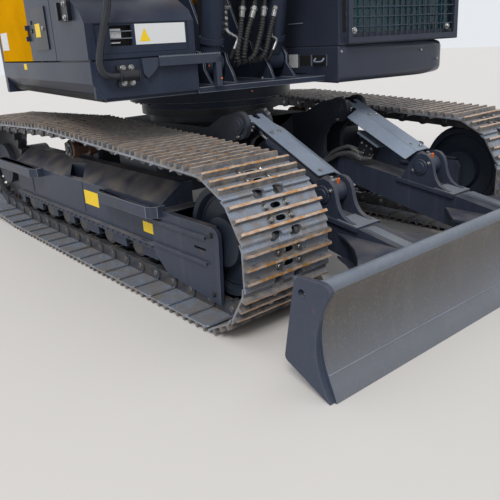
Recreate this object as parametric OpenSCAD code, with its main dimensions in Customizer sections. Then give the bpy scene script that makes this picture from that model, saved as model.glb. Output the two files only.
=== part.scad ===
// Crawler excavator with a front blade, short tail and mono boom.
// Millimetres. The origin is on the ground below the swing axis, +X points to
// the blade, +Y to the machine's left and +Z up.

/* [Undercarriage] */
// Distance between the two tracks' centre planes
track_gauge = 1990; // [1850:10:2150]
// Width of a track shoe
shoe_w = 500; // [400:10:600]
// Distance from the idler's axle to the sprocket's axle
wheelbase = 2960; // [2800:10:3100]
// Height of the idler's axle over the ground
idler_z = 390; // [370:5:410]
// Height of the sprocket's axle over the ground
sprocket_z = 425; // [400:5:450]
// Height of a grouser over its shoe's plate
lug_h = 26; // [18:1:32]
// Thickness of a shoe's plate
shoe_t = 9; // [8:1:12]
// Height of the chain links below the shoe
link_h = 85; // [75:1:95]
// Width over the chain's outer links
chain_w = 206; // [190:2:220]
// Thickness of one line of links
link_w = 42; // [34:1:50]
// Radius of the lower rollers' tread
roller_r = 75; // [65:1:85]
// Radius of the carrier roller's tread
carrier_r = 60; // [50:1:70]
// Distance of the chain's pins below the shoe's outer surface
pin_depth = 51; // [48:1:54]
// Length of belt that one shoe takes up, rounded to a whole number of shoes
shoe_pitch = 172.5; // [165:0.5:180]
// Place of the carrier roller along the frame
carrier_x = -110; // [-250:10:50]
// Height of the carrier roller's axle
carrier_z = 675; // [655:5:690]

/* [Track frame] */
// Distance of the frame's outer wall from the track's centre plane
frame_out = 105; // [95:1:115]
// Height of the frame's outer top edge
frame_edge_z = 490; // [470:5:510]
// Height of the frame's ridge under the top run
frame_ridge_z = 585; // [565:5:610]
// Height of the ledge along the frame's lower edge
ledge_z = 262; // [250:1:275]
// Thickness of the frame's plates
plate_t = 20; // [14:1:26]

/* [Blade] */
// Width over the blade's side plates
blade_w = 2540; // [2400:10:2600]
// Height of the blade
blade_h = 470; // [430:5:500]
// Reach of the cutting edge from the swing axis
blade_x = 2350; // [2300:10:2450]
// Distance from the middle to a blade arm's centre plane
blade_arm_y = 417; // [400:1:440]
// Width of a blade arm
blade_arm_w = 150; // [130:5:170]
// Place of the blade arms' rear pivot
blade_pivot_x = 740; // [720:5:760]
// Height of the blade arms' rear pivot
blade_pivot_z = 470; // [455:5:485]
// Outer radius of a blade cylinder's barrel
blade_barrel_r = 48; // [44:1:52]
// Radius of a blade cylinder's rod
blade_rod_r = 25; // [20:1:28]

/* [Upper structure] */
// Angle that the upper structure is parked at, clockwise from above
park_turn = 8; // [0:1:30]
// Underside of the upper deck
deck_z = 1030; // [1010:5:1060]
// Thickness of the deck plate
deck_t = 30; // [20:1:40]
// Width of the upper structure
upper_w = 2420; // [2340:10:2480]
// Distance from the swing axis to the deck's front edge
deck_front = 1090; // [1040:10:1120]
// Swing radius of the counterweight
tail_r = 1550; // [1500:10:1650]
// Height of the seam over the side skirts
skirt_top = 1222; // [1200:2:1240]
// Top of the hood
hood_top = 2060; // [1980:10:2120]
// Thickness of a sheet panel with its frame
panel_t = 30; // [20:1:40]

/* [Cab] */
// Inner side of the cab, towards the boom
cab_in = 200; // [180:5:220]
// Width of the cab
cab_w = 990; // [950:5:1000]
// Front face of the cab
cab_front = 1200; // [1160:5:1220]
// Rear face of the cab
cab_rear = -540; // [-600:5:-500]
// Height of the cab's roof
cab_top = 2860; // [2800:10:2920]
// Thickness of the cab's walls
cab_wall = 45; // [35:1:55]

/* [Boom] */
// Centre plane of the boom, arm and bucket
boom_y = -225; // [-240:1:-210]
// Place of the boom's foot pin
boom_foot_x = 300; // [280:5:320]
// Height of the boom's foot pin
boom_foot_z = 1620; // [1600:5:1640]
// Length of the boom from foot pin to arm pin
boom_l = 4600; // [4500:10:4800]
// Width of the boom
boom_w = 230; // [220:2:240]
// Angle of the parked boom's chord over the horizontal
boom_park = 42; // [35:1:50]
// Place of the boom cylinders' foot pin
boom_cyl_x = 835; // [820:5:850]
// Height of the boom cylinders' foot pin
boom_cyl_z = 1170; // [1155:5:1185]
// Distance from the boom's centre plane to a boom cylinder
boom_cyl_y = 205; // [203:1:215]
// Outer radius of a boom cylinder's barrel
boom_barrel_r = 62; // [56:1:63]
// Radius of a boom cylinder's rod
boom_rod_r = 38; // [32:1:44]

/* [Arm and bucket] */
// Length of the arm from boom pin to bucket pin
arm_l = 2500; // [2300:10:2700]
// Angle from the boom's chord to the arm when parked
arm_park = 78; // [65:1:90]
// Width of the arm
arm_w = 200; // [190:2:204]
// Width of the bucket
bucket_w = 900; // [800:10:1000]
// Reach of the bucket from its pin to its teeth
bucket_r = 1250; // [1200:10:1300]
// Angle from the arm's line down to the bucket's teeth when parked
bucket_park = 60; // [50:1:70]

/* [Hidden] */
$fn = 48;
// Clearance of a running seat, such as a tread on its chain
seat_gap = 0.3;
// Radial clearance of a pin that turns in its bore
pin_gap = 0.05;
// Clearance between moving pieces side by side
side_gap = 6;

idler_x = wheelbase / 2;
sprocket_x = -wheelbase / 2;
track_y = track_gauge / 2;
// Depth of the chain and shoe under the shoe's outer surface
belt_h = shoe_t + link_h;
idler_r = idler_z - lug_h;
sprocket_r = idler_r;
roller_z = lug_h + belt_h + roller_r;
// Places of the lower rollers along the frame
roller_xs = [-965, -612, -335, -60, 300, 656, 1010];

// Circles that the shoe's outer surface wraps, counter-clockwise in side view: x, z, radius
WRAPS = [
    [sprocket_x, sprocket_z, sprocket_r],
    [roller_xs[0], roller_z, roller_r + belt_h],
    [roller_xs[6], roller_z, roller_r + belt_h],
    [idler_x, idler_z, idler_r],
    [carrier_x, carrier_z, carrier_r + belt_h]
];
// Angle of the outward normal of the straight run from wrap a to wrap b
function run_normal(a, b) = let (dx = b[0] - a[0], dz = b[1] - a[1])
    atan2(dz, dx) - acos((a[2] - b[2]) / norm([dx, dz]));
function wrapped(i) = (i + len(WRAPS)) % len(WRAPS);
function turn_to(from, to) = to < from - 0.001 ? to + 360 : to;
function wrap_from(i) = run_normal(WRAPS[wrapped(i - 1)], WRAPS[i]);
function wrap_to(i) = turn_to(wrap_from(i), run_normal(WRAPS[i], WRAPS[wrapped(i + 1)]));
// Point of the belt's side view at an angle of wrap i, offset outwards by h
function on_wrap(i, t, h) = [
    WRAPS[i][0] + (WRAPS[i][2] + h) * cos(t), WRAPS[i][1] + (WRAPS[i][2] + h) * sin(t)];
// Points of the belt's side view, offset outwards by h
belt_step = 12;
function belt(h) = [
    for (i = [0:len(WRAPS) - 1])
        let (a = wrap_from(i), b = wrap_to(i), n = b - a < 0.5 ? 0 : max(1, round((b - a) / belt_step)))
            for (k = [0:n]) on_wrap(i, n == 0 ? a : a + (b - a) * k / n, h)
];

// Lengths of each arc of the pin line and of the straight run behind it
ARC_L = [for (i = [0:len(WRAPS) - 1]) (WRAPS[i][2] - pin_depth) * (wrap_to(i) - wrap_from(i)) * PI / 180];
RUN_L = [for (i = [0:len(WRAPS) - 1]) norm(on_wrap(wrapped(i + 1), wrap_to(i), 0) - on_wrap(i, wrap_to(i), 0))];
function line_l(n) = n == 0 ? 0 : line_l(n - 1) + ARC_L[n - 1] + RUN_L[n - 1];
shoe_count = round(line_l(len(WRAPS)) / shoe_pitch);
pitch = line_l(len(WRAPS)) / shoe_count;
idler_wrap = 3;
// Angle round the idler at which the middle of one shoe lies
shoe_phase = 31.6;
first_shoe = line_l(idler_wrap)
    + (WRAPS[idler_wrap][2] - pin_depth) * (shoe_phase - wrap_from(idler_wrap)) * PI / 180;
// Place on the belt's outer surface and the angle of its normal, at a distance along the pin line from wrap i
function line_place(s, i = 0) =
    s <= ARC_L[i] ? let (a = wrap_from(i) + s / (WRAPS[i][2] - pin_depth) * 180 / PI) [on_wrap(i, a, 0), a]
    : s <= ARC_L[i] + RUN_L[i] || i == len(WRAPS) - 1
        ? let (a = wrap_to(i)) [on_wrap(i, a, 0) + (s - ARC_L[i]) * [-sin(a), cos(a)], a]
    : line_place(s - ARC_L[i] - RUN_L[i], i + 1);
function wrap_length(s) = s - line_l(len(WRAPS)) * floor(s / line_l(len(WRAPS)));
// Side view of one shoe's three lugs: distance against the belt's travel and height
lug_at = 60;
lug_foot = 12;
lug_tip = 6.2;
SHOE = [
    for (at = [lug_at, 0, -lug_at]) each [
        [at + lug_foot, 0], [at + lug_tip, lug_h], [at - lug_tip, lug_h], [at - lug_foot, 0]]
];
// Points of the shoes' outer side view
function shoes() = [
    for (k = [0:shoe_count - 1])
        let (place = line_place(wrap_length(first_shoe + k * pitch)), a = place[1])
            for (q = SHOE) place[0] - q[0] * [-sin(a), cos(a)] + q[1] * [cos(a), sin(a)]
];

// Extrudes a side view, drawn as x and z, from y0 to y1
module xz(y0, y1) {
    translate([0, y1, 0]) rotate([90, 0, 0]) linear_extrude(y1 - y0) children();
}
// Round bar along Y
module bar_y(x, z, y0, y1, r) {
    translate([x, y1, z]) rotate([90, 0, 0]) cylinder(r = r, h = y1 - y0);
}
// A piece and its mirror image on the other side of the machine
module both() {
    children();
    mirror([0, 1, 0]) children();
}
// Turns what belongs to the upper structure to its parked angle
module upper() {
    rotate([0, 0, -park_turn]) children();
}
// Box from its low corner to its high corner
module box(lo, hi) {
    translate(lo) cube(hi - lo);
}
// Round bar between two points of the side view at one y
module rod_xz(a, b, y, r) {
    d = b - a;
    translate([a[0], y, a[1]]) rotate([0, 90 - atan2(d[1], d[0]), 0]) cylinder(r = r, h = norm(d));
}

/* Undercarriage */

module carbody() {
    color("#30384a") difference() {
        union() {
            box([-520, -440, 430], [520, 440, 780]);
            translate([0, 0, 780]) cylinder(r = 455, h = 50, $fn = 96);
            both() for (s = [-1, 1]) carbody_leg(s);
            both() blade_bracket();
        }
        translate([0, 0, 560]) cylinder(r = 300, h = 300, $fn = 64);
    }
}
module carbody_leg(s) {
    x0 = s * 200;
    x1 = s * 640;
    xz_leg = [[x0, 430], [x1, 430], [x1, 640], [x0, 780]];
    difference() {
        translate([0, 0, 0]) xz(400, track_y - frame_out) polygon(s > 0 ? xz_leg : [for (i = [3:-1:0]) xz_leg[i]]);
        translate([0, track_y - frame_out, 0]) rotate([12, 0, 0]) box([-900, -900, 660], [900, 200, 1200]);
    }
}
bracket_y = blade_arm_y;
bracket_gap = 130;
bracket_t = 32;
blade_eye_x = 950;
blade_eye_z = 825;
module blade_bracket() {
    bar_y(blade_pivot_x, blade_pivot_z, bracket_y - bracket_gap / 2 - bracket_t, bracket_y + bracket_gap / 2 + bracket_t, 30);
    for (s = [-1, 1]) {
        y = bracket_y + s * (bracket_gap / 2 + bracket_t / 2);
        difference() {
            union() {
                xz(y - bracket_t / 2, y + bracket_t / 2) polygon([
                    [460, 430], [810, 400], [840, 440], [820, 560], [825, 650], [870, 715], [1000, 790],
                    [1000, 860], [930, 895], [800, 870], [660, 800], [460, 770]]);
                bar_y(blade_eye_x, blade_eye_z, y - bracket_t / 2, y + bracket_t / 2, 78);
                bar_y(blade_eye_x, blade_eye_z, y + s * bracket_t / 2 - 12, y + s * bracket_t / 2 + 12, 48);
            }
        }
    }
}

// Rear edge of the idler guards
guard_rear = 930;
module track_frames() {
    color("#353d4c") both() track_frame();
}
module track_frame() {
    y_in = track_y - frame_out;
    y_out = track_y + frame_out;
    difference() {
        translate([-1130, 0, 0]) rotate([90, 0, 90]) linear_extrude(2120) polygon([
            [y_in, ledge_z + 28], [y_out, ledge_z + 28], [y_out, frame_edge_z],
            [y_in + 70, frame_ridge_z], [y_in, frame_ridge_z]]);
        // Opening in the sloped plate
        translate([0, 0, frame_edge_z - 30]) linear_extrude(200) polygon([
            [-150, y_out - 14], [-270, y_out - 92], [-100, y_out - 115], [32, y_out - 22]]);
    }
    difference() {
        for (y = [y_in, y_out - plate_t]) box([-1130, y, 165], [960, y + plate_t, ledge_z + 30]);
        for (x = roller_xs) box([x - 98, y_in - plate_t, 120], [x + 98, y_out + plate_t, ledge_z - 32]);
    }
    box([-1130, y_out, ledge_z - 28], [guard_rear - 5, y_out + 22, ledge_z]);
    bar_y(carrier_x, carrier_z, y_in - 12, track_y + 50, 24);
    box([carrier_x - 40, y_in - 12, frame_ridge_z - 5], [carrier_x + 40, y_in + 14, carrier_z]);
    for (s = [-1, 1]) idler_fork(s);
    motor_mount();
}
module idler_fork(s) {
    y = track_y + s * (chain_w / 2 - 12);
    xz(y - 12, y + 12) polygon([[940, 300], [idler_x - 30, 335], [idler_x - 30, 445], [940, 470]]);
    box([960, track_y - frame_out, 300], [1080, track_y + frame_out, 470]);
}
module motor_mount() {
    y_in = track_y - frame_out;
    xz(y_in, y_in + 30) polygon([[-1120, 300], [sprocket_x - 60, 300], [sprocket_x - 60, 540], [-1120, 575]]);
}

// Clearance of the idler's tread inside the chain's links, which lie round it as straight pieces
idler_gap = 2;
idler_tread = idler_r - belt_h - idler_gap;
module idlers() {
    color("#23282f") both() translate([idler_x, track_y, idler_z]) rotate([90, 0, 0]) rotate_extrude($fn = 96)
        polygon([
            [0, -79], [120, -79], [130, -40], [idler_tread - 60, -34], [idler_tread - 58, -38], [idler_tread - 52, -38],
            [idler_tread - 50, -33], [idler_tread - 40, -32], [idler_tread - 30, -62], [idler_tread, -62],
            [idler_tread, -24], [idler_tread + 20, -18], [idler_tread + 20, 18], [idler_tread, 24],
            [idler_tread, 62], [idler_tread - 30, 62], [idler_tread - 40, 32], [idler_tread - 50, 33],
            [idler_tread - 52, 38], [idler_tread - 58, 38], [idler_tread - 60, 34], [130, 40], [120, 79], [0, 79]]);
}

teeth = 23;
// One tooth: radius and share of a tooth's pitch
TOOTH = [[sprocket_r - belt_h, 0.1], [sprocket_r - pin_depth - 4, 0.3], [sprocket_r - pin_depth + 8, 0.42],
    [sprocket_r - pin_depth + 8, 0.58], [sprocket_r - pin_depth - 4, 0.7], [sprocket_r - belt_h, 0.9]];
module sprockets() {
    color("#4a4038") both() difference() {
        translate([sprocket_x, 0, sprocket_z]) xz(track_y - 28, track_y + 28) polygon([
            for (k = [0:teeth - 1]) for (q = TOOTH) q[0] * [cos(360 * (k + q[1]) / teeth), sin(360 * (k + q[1]) / teeth)]]);
        bar_y(sprocket_x, sprocket_z, track_y - 40, track_y + 40, 150);
    }
}
module travel_motors() {
    color("#2c3340") both() {
        bar_y(sprocket_x, sprocket_z, track_y - frame_out + 30, track_y - 28, 175);
        bar_y(sprocket_x, sprocket_z, track_y - 28, track_y + 28, 150 - pin_gap);
        bar_y(sprocket_x, sprocket_z, track_y + 28, track_y + 80, 160);
        bar_y(sprocket_x, sprocket_z, track_y - frame_out - 180, track_y - frame_out, 120);
    }
}

module roller(r, w, flange) {
    rotate([90, 0, 0]) rotate_extrude($fn = 48) polygon([
        [0, -w / 2], [r - 14, -w / 2], [r + flange, -w / 2 + 4], [r + flange, -w / 2 + 12],
        [r, -w / 2 + 16], [r, w / 2 - 16], [r + flange, w / 2 - 12], [r + flange, w / 2 - 4], [r - 14, w / 2],
        [0, w / 2]]);
}
module lower_rollers() {
    color("#3a3632") both() for (x = roller_xs) {
        translate([x, track_y, roller_z]) rotate([90, 0, 0]) rotate_extrude($fn = 48) polygon([
            [0, -84], [roller_r - 20, -84], [roller_r - seat_gap, -76], [roller_r - seat_gap, -34],
            [roller_r - 26, -30], [roller_r - 26, 30],
            [roller_r - seat_gap, 34], [roller_r - seat_gap, 76], [roller_r - 20, 84], [0, 84]]);
        for (y = [track_y - 84, track_y + 64])
            box([x - 36, y, roller_z], [x + 36, y + 20, ledge_z + 28 - seat_gap]);
    }
}
module carrier_rollers() {
    color("#5a3a28") both() difference() {
        translate([carrier_x, track_y, carrier_z]) rotate([90, 0, 0]) rotate_extrude($fn = 48) polygon([
            [0, -84], [carrier_r - 10, -84], [carrier_r - seat_gap, -76], [carrier_r - seat_gap, -34],
            [carrier_r - 18, -30], [carrier_r - 18, 30],
            [carrier_r - seat_gap, 34], [carrier_r - seat_gap, 76], [carrier_r - 10, 84], [0, 84]]);
        bar_y(carrier_x, carrier_z, track_y - 90, track_y + 50, 24 + pin_gap);
    }
}

module track() {
    xz(track_y - shoe_w / 2, track_y + shoe_w / 2) difference() {
        polygon(shoes());
        polygon(belt(-shoe_t));
    }
    for (s = [-1, 1]) {
        y = track_y + s * (chain_w / 2 - link_w / 2);
        xz(y - link_w / 2, y + link_w / 2) difference() {
            polygon(belt(-shoe_t));
            polygon(belt(-belt_h));
        }
    }
}
module track_right() {
    color("#6d6a68") mirror([0, 1, 0]) track();
}
module track_left() {
    color("#6d6a68") track();
}

module idler_guards() {
    color("#363e4e") both() {
        y = track_y + frame_out + seat_gap;
        difference() {
            xz(y, y + 22) polygon([
                [guard_rear, 215], [1040, 130], [1500, 85], [1514, 420], [1508, 444], [1492, 462], [1468, 470],
                [step_end, 470],
                [step_end, step_z - 2], [guard_rear, step_z - 2]]);
            box([1310, y - 5, 335], [1410, y + 30, 352]);
        }
        for (z = [272, 402]) box([guard_rear, y + 22, z], [1420, y + 36, z + 16]);
        box([1090, track_y + 90, 464], [1466, y + 1, 470]);
    }
}
// Steps on the frame: rear and front end of each
step_z = 440;
step_end = 1045;
STEPS = [[-1330, -570], [410, step_end - 2]];
module frame_steps() {
    y = track_y + frame_out + seat_gap;
    color("#363e4e") both() for (s = STEPS) difference() {
        step_plan(s[0], s[1], y);
        box([s[0] + 24, y - 1, 400], [s[1] - 24, y + 66, 560]);
    }
}
module step_plan(x0, x1, y) {
    translate([0, 0, step_z]) linear_extrude(62)
        polygon([[x0, y], [x1, y], [x1, y + 50], [x1 - 50, y + 92], [x0 + 50, y + 92], [x0, y + 50]]);
}
module swing_bearing() {
    color("#23272e") translate([0, 0, 830 + seat_gap]) difference() {
        cylinder(r = 500, h = 38, $fn = 96);
        translate([0, 0, -1]) cylinder(r = 380, h = 60, $fn = 96);
    }
}

/* Blade */

blade_ear_x = 1580;
blade_ear_z = 520;
module mouldboard() {
    h = blade_w / 2;
    color("#3b4354") {
        xz(-h + 24, h - 24) polygon([
            [blade_x, 0], [blade_x - 14, 40], [blade_x - 34, 85], [blade_x - 52, 130], [blade_x - 64, 180],
            [blade_x - 70, 230], [blade_x - 70, 280], [blade_x - 64, 330], [blade_x - 52, 375], [blade_x - 38, 412],
            [blade_x - 38, blade_h - 28], [blade_x - 88, blade_h - 28], [blade_x - 96, 320], [blade_x - 100, 230], [blade_x - 84, 140], [blade_x - 40, 30], [blade_x - 22, 0]]);
        bar_y(blade_x - 62, blade_h - 28, -h + 24, h - 24, 28);
        both() difference() {
            xz(h - 24, h) polygon([
                [blade_x - 10, 0], [blade_x - 34, 34], [blade_x - 50, 69], [blade_x - 66, 110], [blade_x - 74, 145],
                [blade_x - 80, 185], [blade_x - 81, 227], [blade_x - 76, 280], [blade_x - 63, 333], [blade_x - 46, 375],
                [blade_x - 23, 417], [blade_x - 7, 436], [blade_x - 8, 450], [blade_x - 20, 463], [blade_x - 39, blade_h],
                [blade_x - 150, blade_h - 3], [blade_x - 170, blade_h - 8], [blade_x - 185, blade_h - 26],
                [blade_x - 246, 120], [blade_x - 244, 108], [blade_x - 234, 98]]);
            bar_y(blade_x - 145, 405, h - 40, h + 20, 18);
        }
    }
}
module blade_arms() {
    w = blade_arm_w / 2;
    color("#333b4c") both() {
        difference() {
            union() {
                xz(blade_arm_y - 40, blade_arm_y + 40) polygon([
                    [blade_pivot_x - 60, 430], [blade_pivot_x - 40, 510], [940, 512], [1010, 500], [1010, 360],
                    [940, 375]]);
                xz(blade_arm_y - w, blade_arm_y + w) polygon([
                    [930, 376], [930, 512], [1740, 394], [blade_x - 97.3, 300], [blade_x - 100.3, 230],
                    [blade_x - 84.3, 140], [blade_x - 80.3, 130], [1740, 205]]);
                blade_ears();
                blade_gussets();
            }
            bar_y(blade_pivot_x, blade_pivot_z, blade_arm_y - 60, blade_arm_y + 60, 30 + pin_gap);
        }
    }
}
module blade_ears() {
    for (s = [-1, 1]) {
        y = blade_arm_y + s * 63;
        difference() {
            xz(y - 13, y + 13) polygon([
                    [1440, 430], [1480, 500], [1512, 556], [1545, 590], [1580, 600], [1618, 592], [1645, 568],
                    [1660, 532], [1668, 492], [1682, 456], [1708, 424], [1745, 404], [1785, 394], [1785, 370],
                    [1440, 400]]);
            bar_y(blade_ear_x, blade_ear_z, y - 40, y + 40, 34);
        }
    }
    bar_y(blade_ear_x, blade_ear_z, blade_arm_y - 84, blade_arm_y + 84, 34);
    xz(blade_arm_y - 92, blade_arm_y + 92) polygon([[1420, 440], [1810, 386], [1810, 366], [1420, 420]]);
}
// Sheet between an arm and the mouldboard, from its lower side to its upper side
module gusset(z0, z1, points) {
    translate([0, 0, z0]) linear_extrude(z1 - z0) polygon(points);
}
gusset_out = blade_arm_y + 73;
module blade_gussets() {
    x = blade_x - 98.5;
    gusset(292, 306, [[1750, blade_arm_y - 70], [1830, 262], [1925, 155], [x, 165], [x, blade_arm_y - 70]]);
    for (z = [197, 322]) gusset(z, z + 14, [
        [1670, gusset_out], [x, gusset_out], [x, 905], [2150, 870], [2080, 815], [2000, 720], [1910, 634],
        [1780, 545]]);
    gusset(205, 325, [
        [1760, gusset_out], [x - 2, gusset_out], [x - 2, 850], [2120, 790], [2040, 690], [1930, 600]]);
}
// Blade cylinder: from its foot on the arm to its rod's eye on the bracket
blade_foot = [blade_ear_x, blade_ear_z];
blade_eye = [blade_eye_x, blade_eye_z];
blade_dir = (blade_eye - blade_foot) / norm(blade_eye - blade_foot);
module blade_barrels() {
    color("#2f3747") both() difference() {
        union() {
            rod_xz(blade_foot + 40 * blade_dir, blade_foot + 510 * blade_dir, blade_arm_y, blade_barrel_r);
            bar_y(blade_ear_x, blade_ear_z, blade_arm_y - 44, blade_arm_y + 44, 56);
        }
        bar_y(blade_ear_x, blade_ear_z, blade_arm_y - 90, blade_arm_y + 90, 34 + pin_gap);
        rod_xz(blade_foot + 95 * blade_dir, blade_foot + 560 * blade_dir, blade_arm_y, blade_rod_r + pin_gap);
    }
}
module blade_rods() {
    color("silver") both() {
        rod_xz(blade_foot + 210 * blade_dir, blade_eye, blade_arm_y, blade_rod_r);
        bar_y(blade_eye_x, blade_eye_z, blade_arm_y - 36, blade_arm_y + 36, 46);
        bar_y(blade_eye_x, blade_eye_z, blade_arm_y - 58, blade_arm_y + 58, 30);
    }
}
cover_t = 5;
cover_z = -blade_barrel_r - 12;
cover_neck = 118;
// Flange along the cover's inner side and the angle that it is bent down by
cover_flange = 95;
cover_bend = 26;
// Cross-section of the cover's wide part: across and depth
cover_profile = [
    [cover_neck / 2, cover_z], [cover_neck / 2, cover_z + cover_t], [-cover_neck / 2 + 1, cover_z + cover_t],
    [-cover_neck / 2 - cover_flange * cos(cover_bend) + 2, cover_z + cover_flange * sin(cover_bend) + cover_t],
    [-cover_neck / 2 - cover_flange * cos(cover_bend), cover_z + cover_flange * sin(cover_bend)],
    [-cover_neck / 2, cover_z]];
module blade_covers() {
    a = atan2(blade_dir[1], blade_dir[0]);
    color("#5d6879") both() translate([blade_foot[0], blade_arm_y, blade_foot[1]]) rotate([0, -a, 0])
        difference() {
            union() {
                box([80, -cover_neck / 2, cover_z], [690, cover_neck / 2, cover_z + cover_t]);
                difference() {
                    translate([80, 0, 0]) rotate([90, 0, 90]) linear_extrude(420) polygon(cover_profile);
                    linear_extrude(400, center = true) polygon([
                        [430, -200], [520, -200], [520, -cover_neck / 2 - 1], [499, -cover_neck / 2 - 1]]);
                }
                for (x = [120, 400]) box([x, -30, cover_z + 1], [x + 60, 30, -blade_barrel_r - seat_gap]);
            }
            box([620, -24, cover_z - 10], [720, 24, 0]);
        }
}

/* Upper structure */

side = upper_w / 2;
deck_top = deck_z + deck_t;
// Front of the counterweight
rear_x = -900;
// Inner faces of the boom's bracket plates, from the boom's centre plane
bracket_in = boom_w / 2 + side_gap;
boom_plate = 16;
cyl_half = 50;
cyl_side = boom_barrel_r + 5;
// Inner edge of the tool box and the skirt beside the boom
bay_gap = 137;
box_in = boom_y - boom_cyl_y - cyl_side - boom_plate - bay_gap;
wall_top = 1920;
seam = 5;
tail_z = 1010;
module house_frame() {
    color("#2f3747") upper() difference() {
        union() {
            translate([0, 0, 830 + 38 + 2 * seat_gap]) cylinder(r = 500, h = 60, $fn = 96);
            translate([0, 0, 918]) cylinder(r = 580, h = deck_z - 917, $fn = 96);
            translate([0, 0, deck_z]) linear_extrude(deck_t) polygon([
                [deck_front - 15.3, -side + 60.3], [deck_front - 15.3, box_in], [deck_front, box_in],
                [deck_front, cab_in - 10], [880, cab_in - 10], [880, cab_out - 50],
                [rear_x + seat_gap, cab_out - 50], [rear_x + seat_gap, -side + 60.3]]);
            for (s = [-1, 1]) {
                y = boom_y + s * (bracket_in + boom_plate / 2);
                xz(y - boom_plate / 2, y + boom_plate / 2) polygon([
                    [-280, deck_top - 1], [-280, 1150], [100, 1560], [boom_foot_x - 120, 1720], [boom_foot_x + 90, 1740],
                    [boom_foot_x + 150, 1600], [640, 1300], [boom_cyl_x - 90, 1270],
                    [boom_cyl_x - 62, 1205], [boom_cyl_x, boom_cyl_z + 68],
                    [boom_cyl_x + 48, boom_cyl_z + 48], [boom_cyl_x + 68, boom_cyl_z], [950, 1115], [985, deck_top - 1]]);
                yo = boom_y + s * (boom_cyl_y + cyl_side + boom_plate / 2);
                xz(yo - boom_plate / 2, yo + boom_plate / 2) polygon([
                    [700, deck_top - 1], [790, 1215], [boom_cyl_x - 20, boom_cyl_z + 66], [boom_cyl_x + 20, boom_cyl_z + 66],
                    [boom_cyl_x + 66, boom_cyl_z + 20], [boom_cyl_x + 66, boom_cyl_z - 30], [985, deck_top - 1]]);
                bar_y(boom_cyl_x, boom_cyl_z, min(y, yo), max(y, yo), 40);
                bar_y(boom_foot_x, boom_foot_z, min(y, y + s * 22), max(y, y + s * 22), 85);
            }
            bar_y(boom_foot_x, boom_foot_z, boom_y - bracket_in - 5, boom_y + bracket_in + 5, 45);
        }
        translate([0, 0, 860]) cylinder(r = 380, h = 160, $fn = 96);
    }
}
module side_skirt() {
    color("#39415a") upper() {
        translate([rear_x + seat_gap, 0, 0]) rotate([90, 0, 90]) linear_extrude(deck_front - rear_x + 10)
            polygon([
                [-side, skirt_top - 2], [-side, 1120], [-side + 60, deck_z], [-side + 60, deck_top + 2],
                [-side + 25, 1125], [-side + 25, skirt_top - 2]]);
        box([deck_front - 15, -side + 10, deck_z + 20], [deck_front + 10, box_in, skirt_top - 2]);
        box([20, box_in - 20, deck_top + seat_gap], [deck_front - 14, box_in, skirt_top - 2]);
    }
}
module counterweight() {
    color("#39415a") upper() {
        intersection() {
            translate([0, 0, tail_z]) cylinder(r = tail_r, h = wall_top - tail_z, $fn = 120);
            box([-tail_r, -side, tail_z], [rear_x, side, wall_top]);
        }
        for (y = hood_hinge_ys) hood_hinge(y) hinge_fixed(120);
        for (z = door_hinges) left_hinge(z) hinge_fixed(90);
    }
}

// Hinge drawn along +Z: its fixed half on the side of +X and its turning half on the side of -X
box_top = 1560;
hinge_r = 9;
hinge_pin_r = 5;
hinge_off = 9;
module hinge_fixed(l) {
    cylinder(r = hinge_pin_r, h = l);
    for (z = [0, l * 0.7]) translate([0, 0, z]) {
        cylinder(r = hinge_r, h = l * 0.3);
        box([0, 2, 0], [30, hinge_off + 0.5, l * 0.3]);
    }
}
module hinge_turning(l) {
    difference() {
        union() {
            translate([0, 0, l * 0.3 + 1]) cylinder(r = hinge_r, h = l * 0.4 - 2);
            box([-30, 2, l * 0.3 + 1], [0, hinge_off + 0.5, l * 0.7 - 1]);
        }
        translate([0, 0, -1]) cylinder(r = hinge_pin_r + pin_gap, h = l + 2);
    }
}
// Places of the two hinges of each door, by height
door_hinges = [skirt_top + 120, 1730];
module right_hinge(z) {
    translate([-5, -side - hinge_off, z]) children();
}
module left_hinge(z) {
    translate([rear_x + 5, side + hinge_off, z]) rotate([0, 0, 180]) children();
}
// Hinge of the hood along its rear edge, and the one of the tool box along its inner edge
module hood_hinge(y) {
    translate([rear_x + 10 - hinge_off, y, wall_top + hinge_off]) rotate([-90, 0, 180]) children();
}
lid_x = 583;
lid_hinge_ys = [-1080, -800];
function box_roof(x) = box_top - (x - 550) / 7;
module lid_hinge(y) {
    translate([lid_x, y, box_roof(lid_x) + hinge_off]) rotate([-90, 0, 180]) children();
}
module engine_hood() {
    color("#c8921a") upper() difference() {
        translate([0, 0, wall_top + seam]) linear_extrude(hood_top - wall_top - seam) hood_outline(0);
        translate([0, 0, wall_top]) linear_extrude(hood_top - wall_top - panel_t) hood_outline(panel_t);
    }
    color("#c8921a") upper() for (y = hood_hinge_ys) hood_hinge(y) rotate([0, 0, 90]) hinge_turning(120);
}
hood_hinge_ys = [-600, 900];
module hood_outline(d) {
    polygon([
        [rear_x + 10 + d, -side + 8 + d], [-15 - d, -side + 8 + d], [-15 - d, cab_in - 15 - d],
        [cab_rear - 20 - d, cab_in - 15 - d], [cab_rear - 20 - d, side - 8 - d], [rear_x + 10 + d, side - 8 - d]]);
}
module hood_door_right() {
    color("#c8921a") upper() {
        box([rear_x + 10, -side, skirt_top + 6], [-10, -side + panel_t, wall_top - 2]);
        for (z = door_hinges) right_hinge(z) hinge_turning(90);
    }
}
module hood_door_left() {
    color("#c8921a") upper() {
        box([rear_x + 10, side - panel_t, deck_z], [cab_rear - 30, side, wall_top - 2]);
        for (z = door_hinges) left_hinge(z) hinge_turning(90);
    }
}
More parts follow.
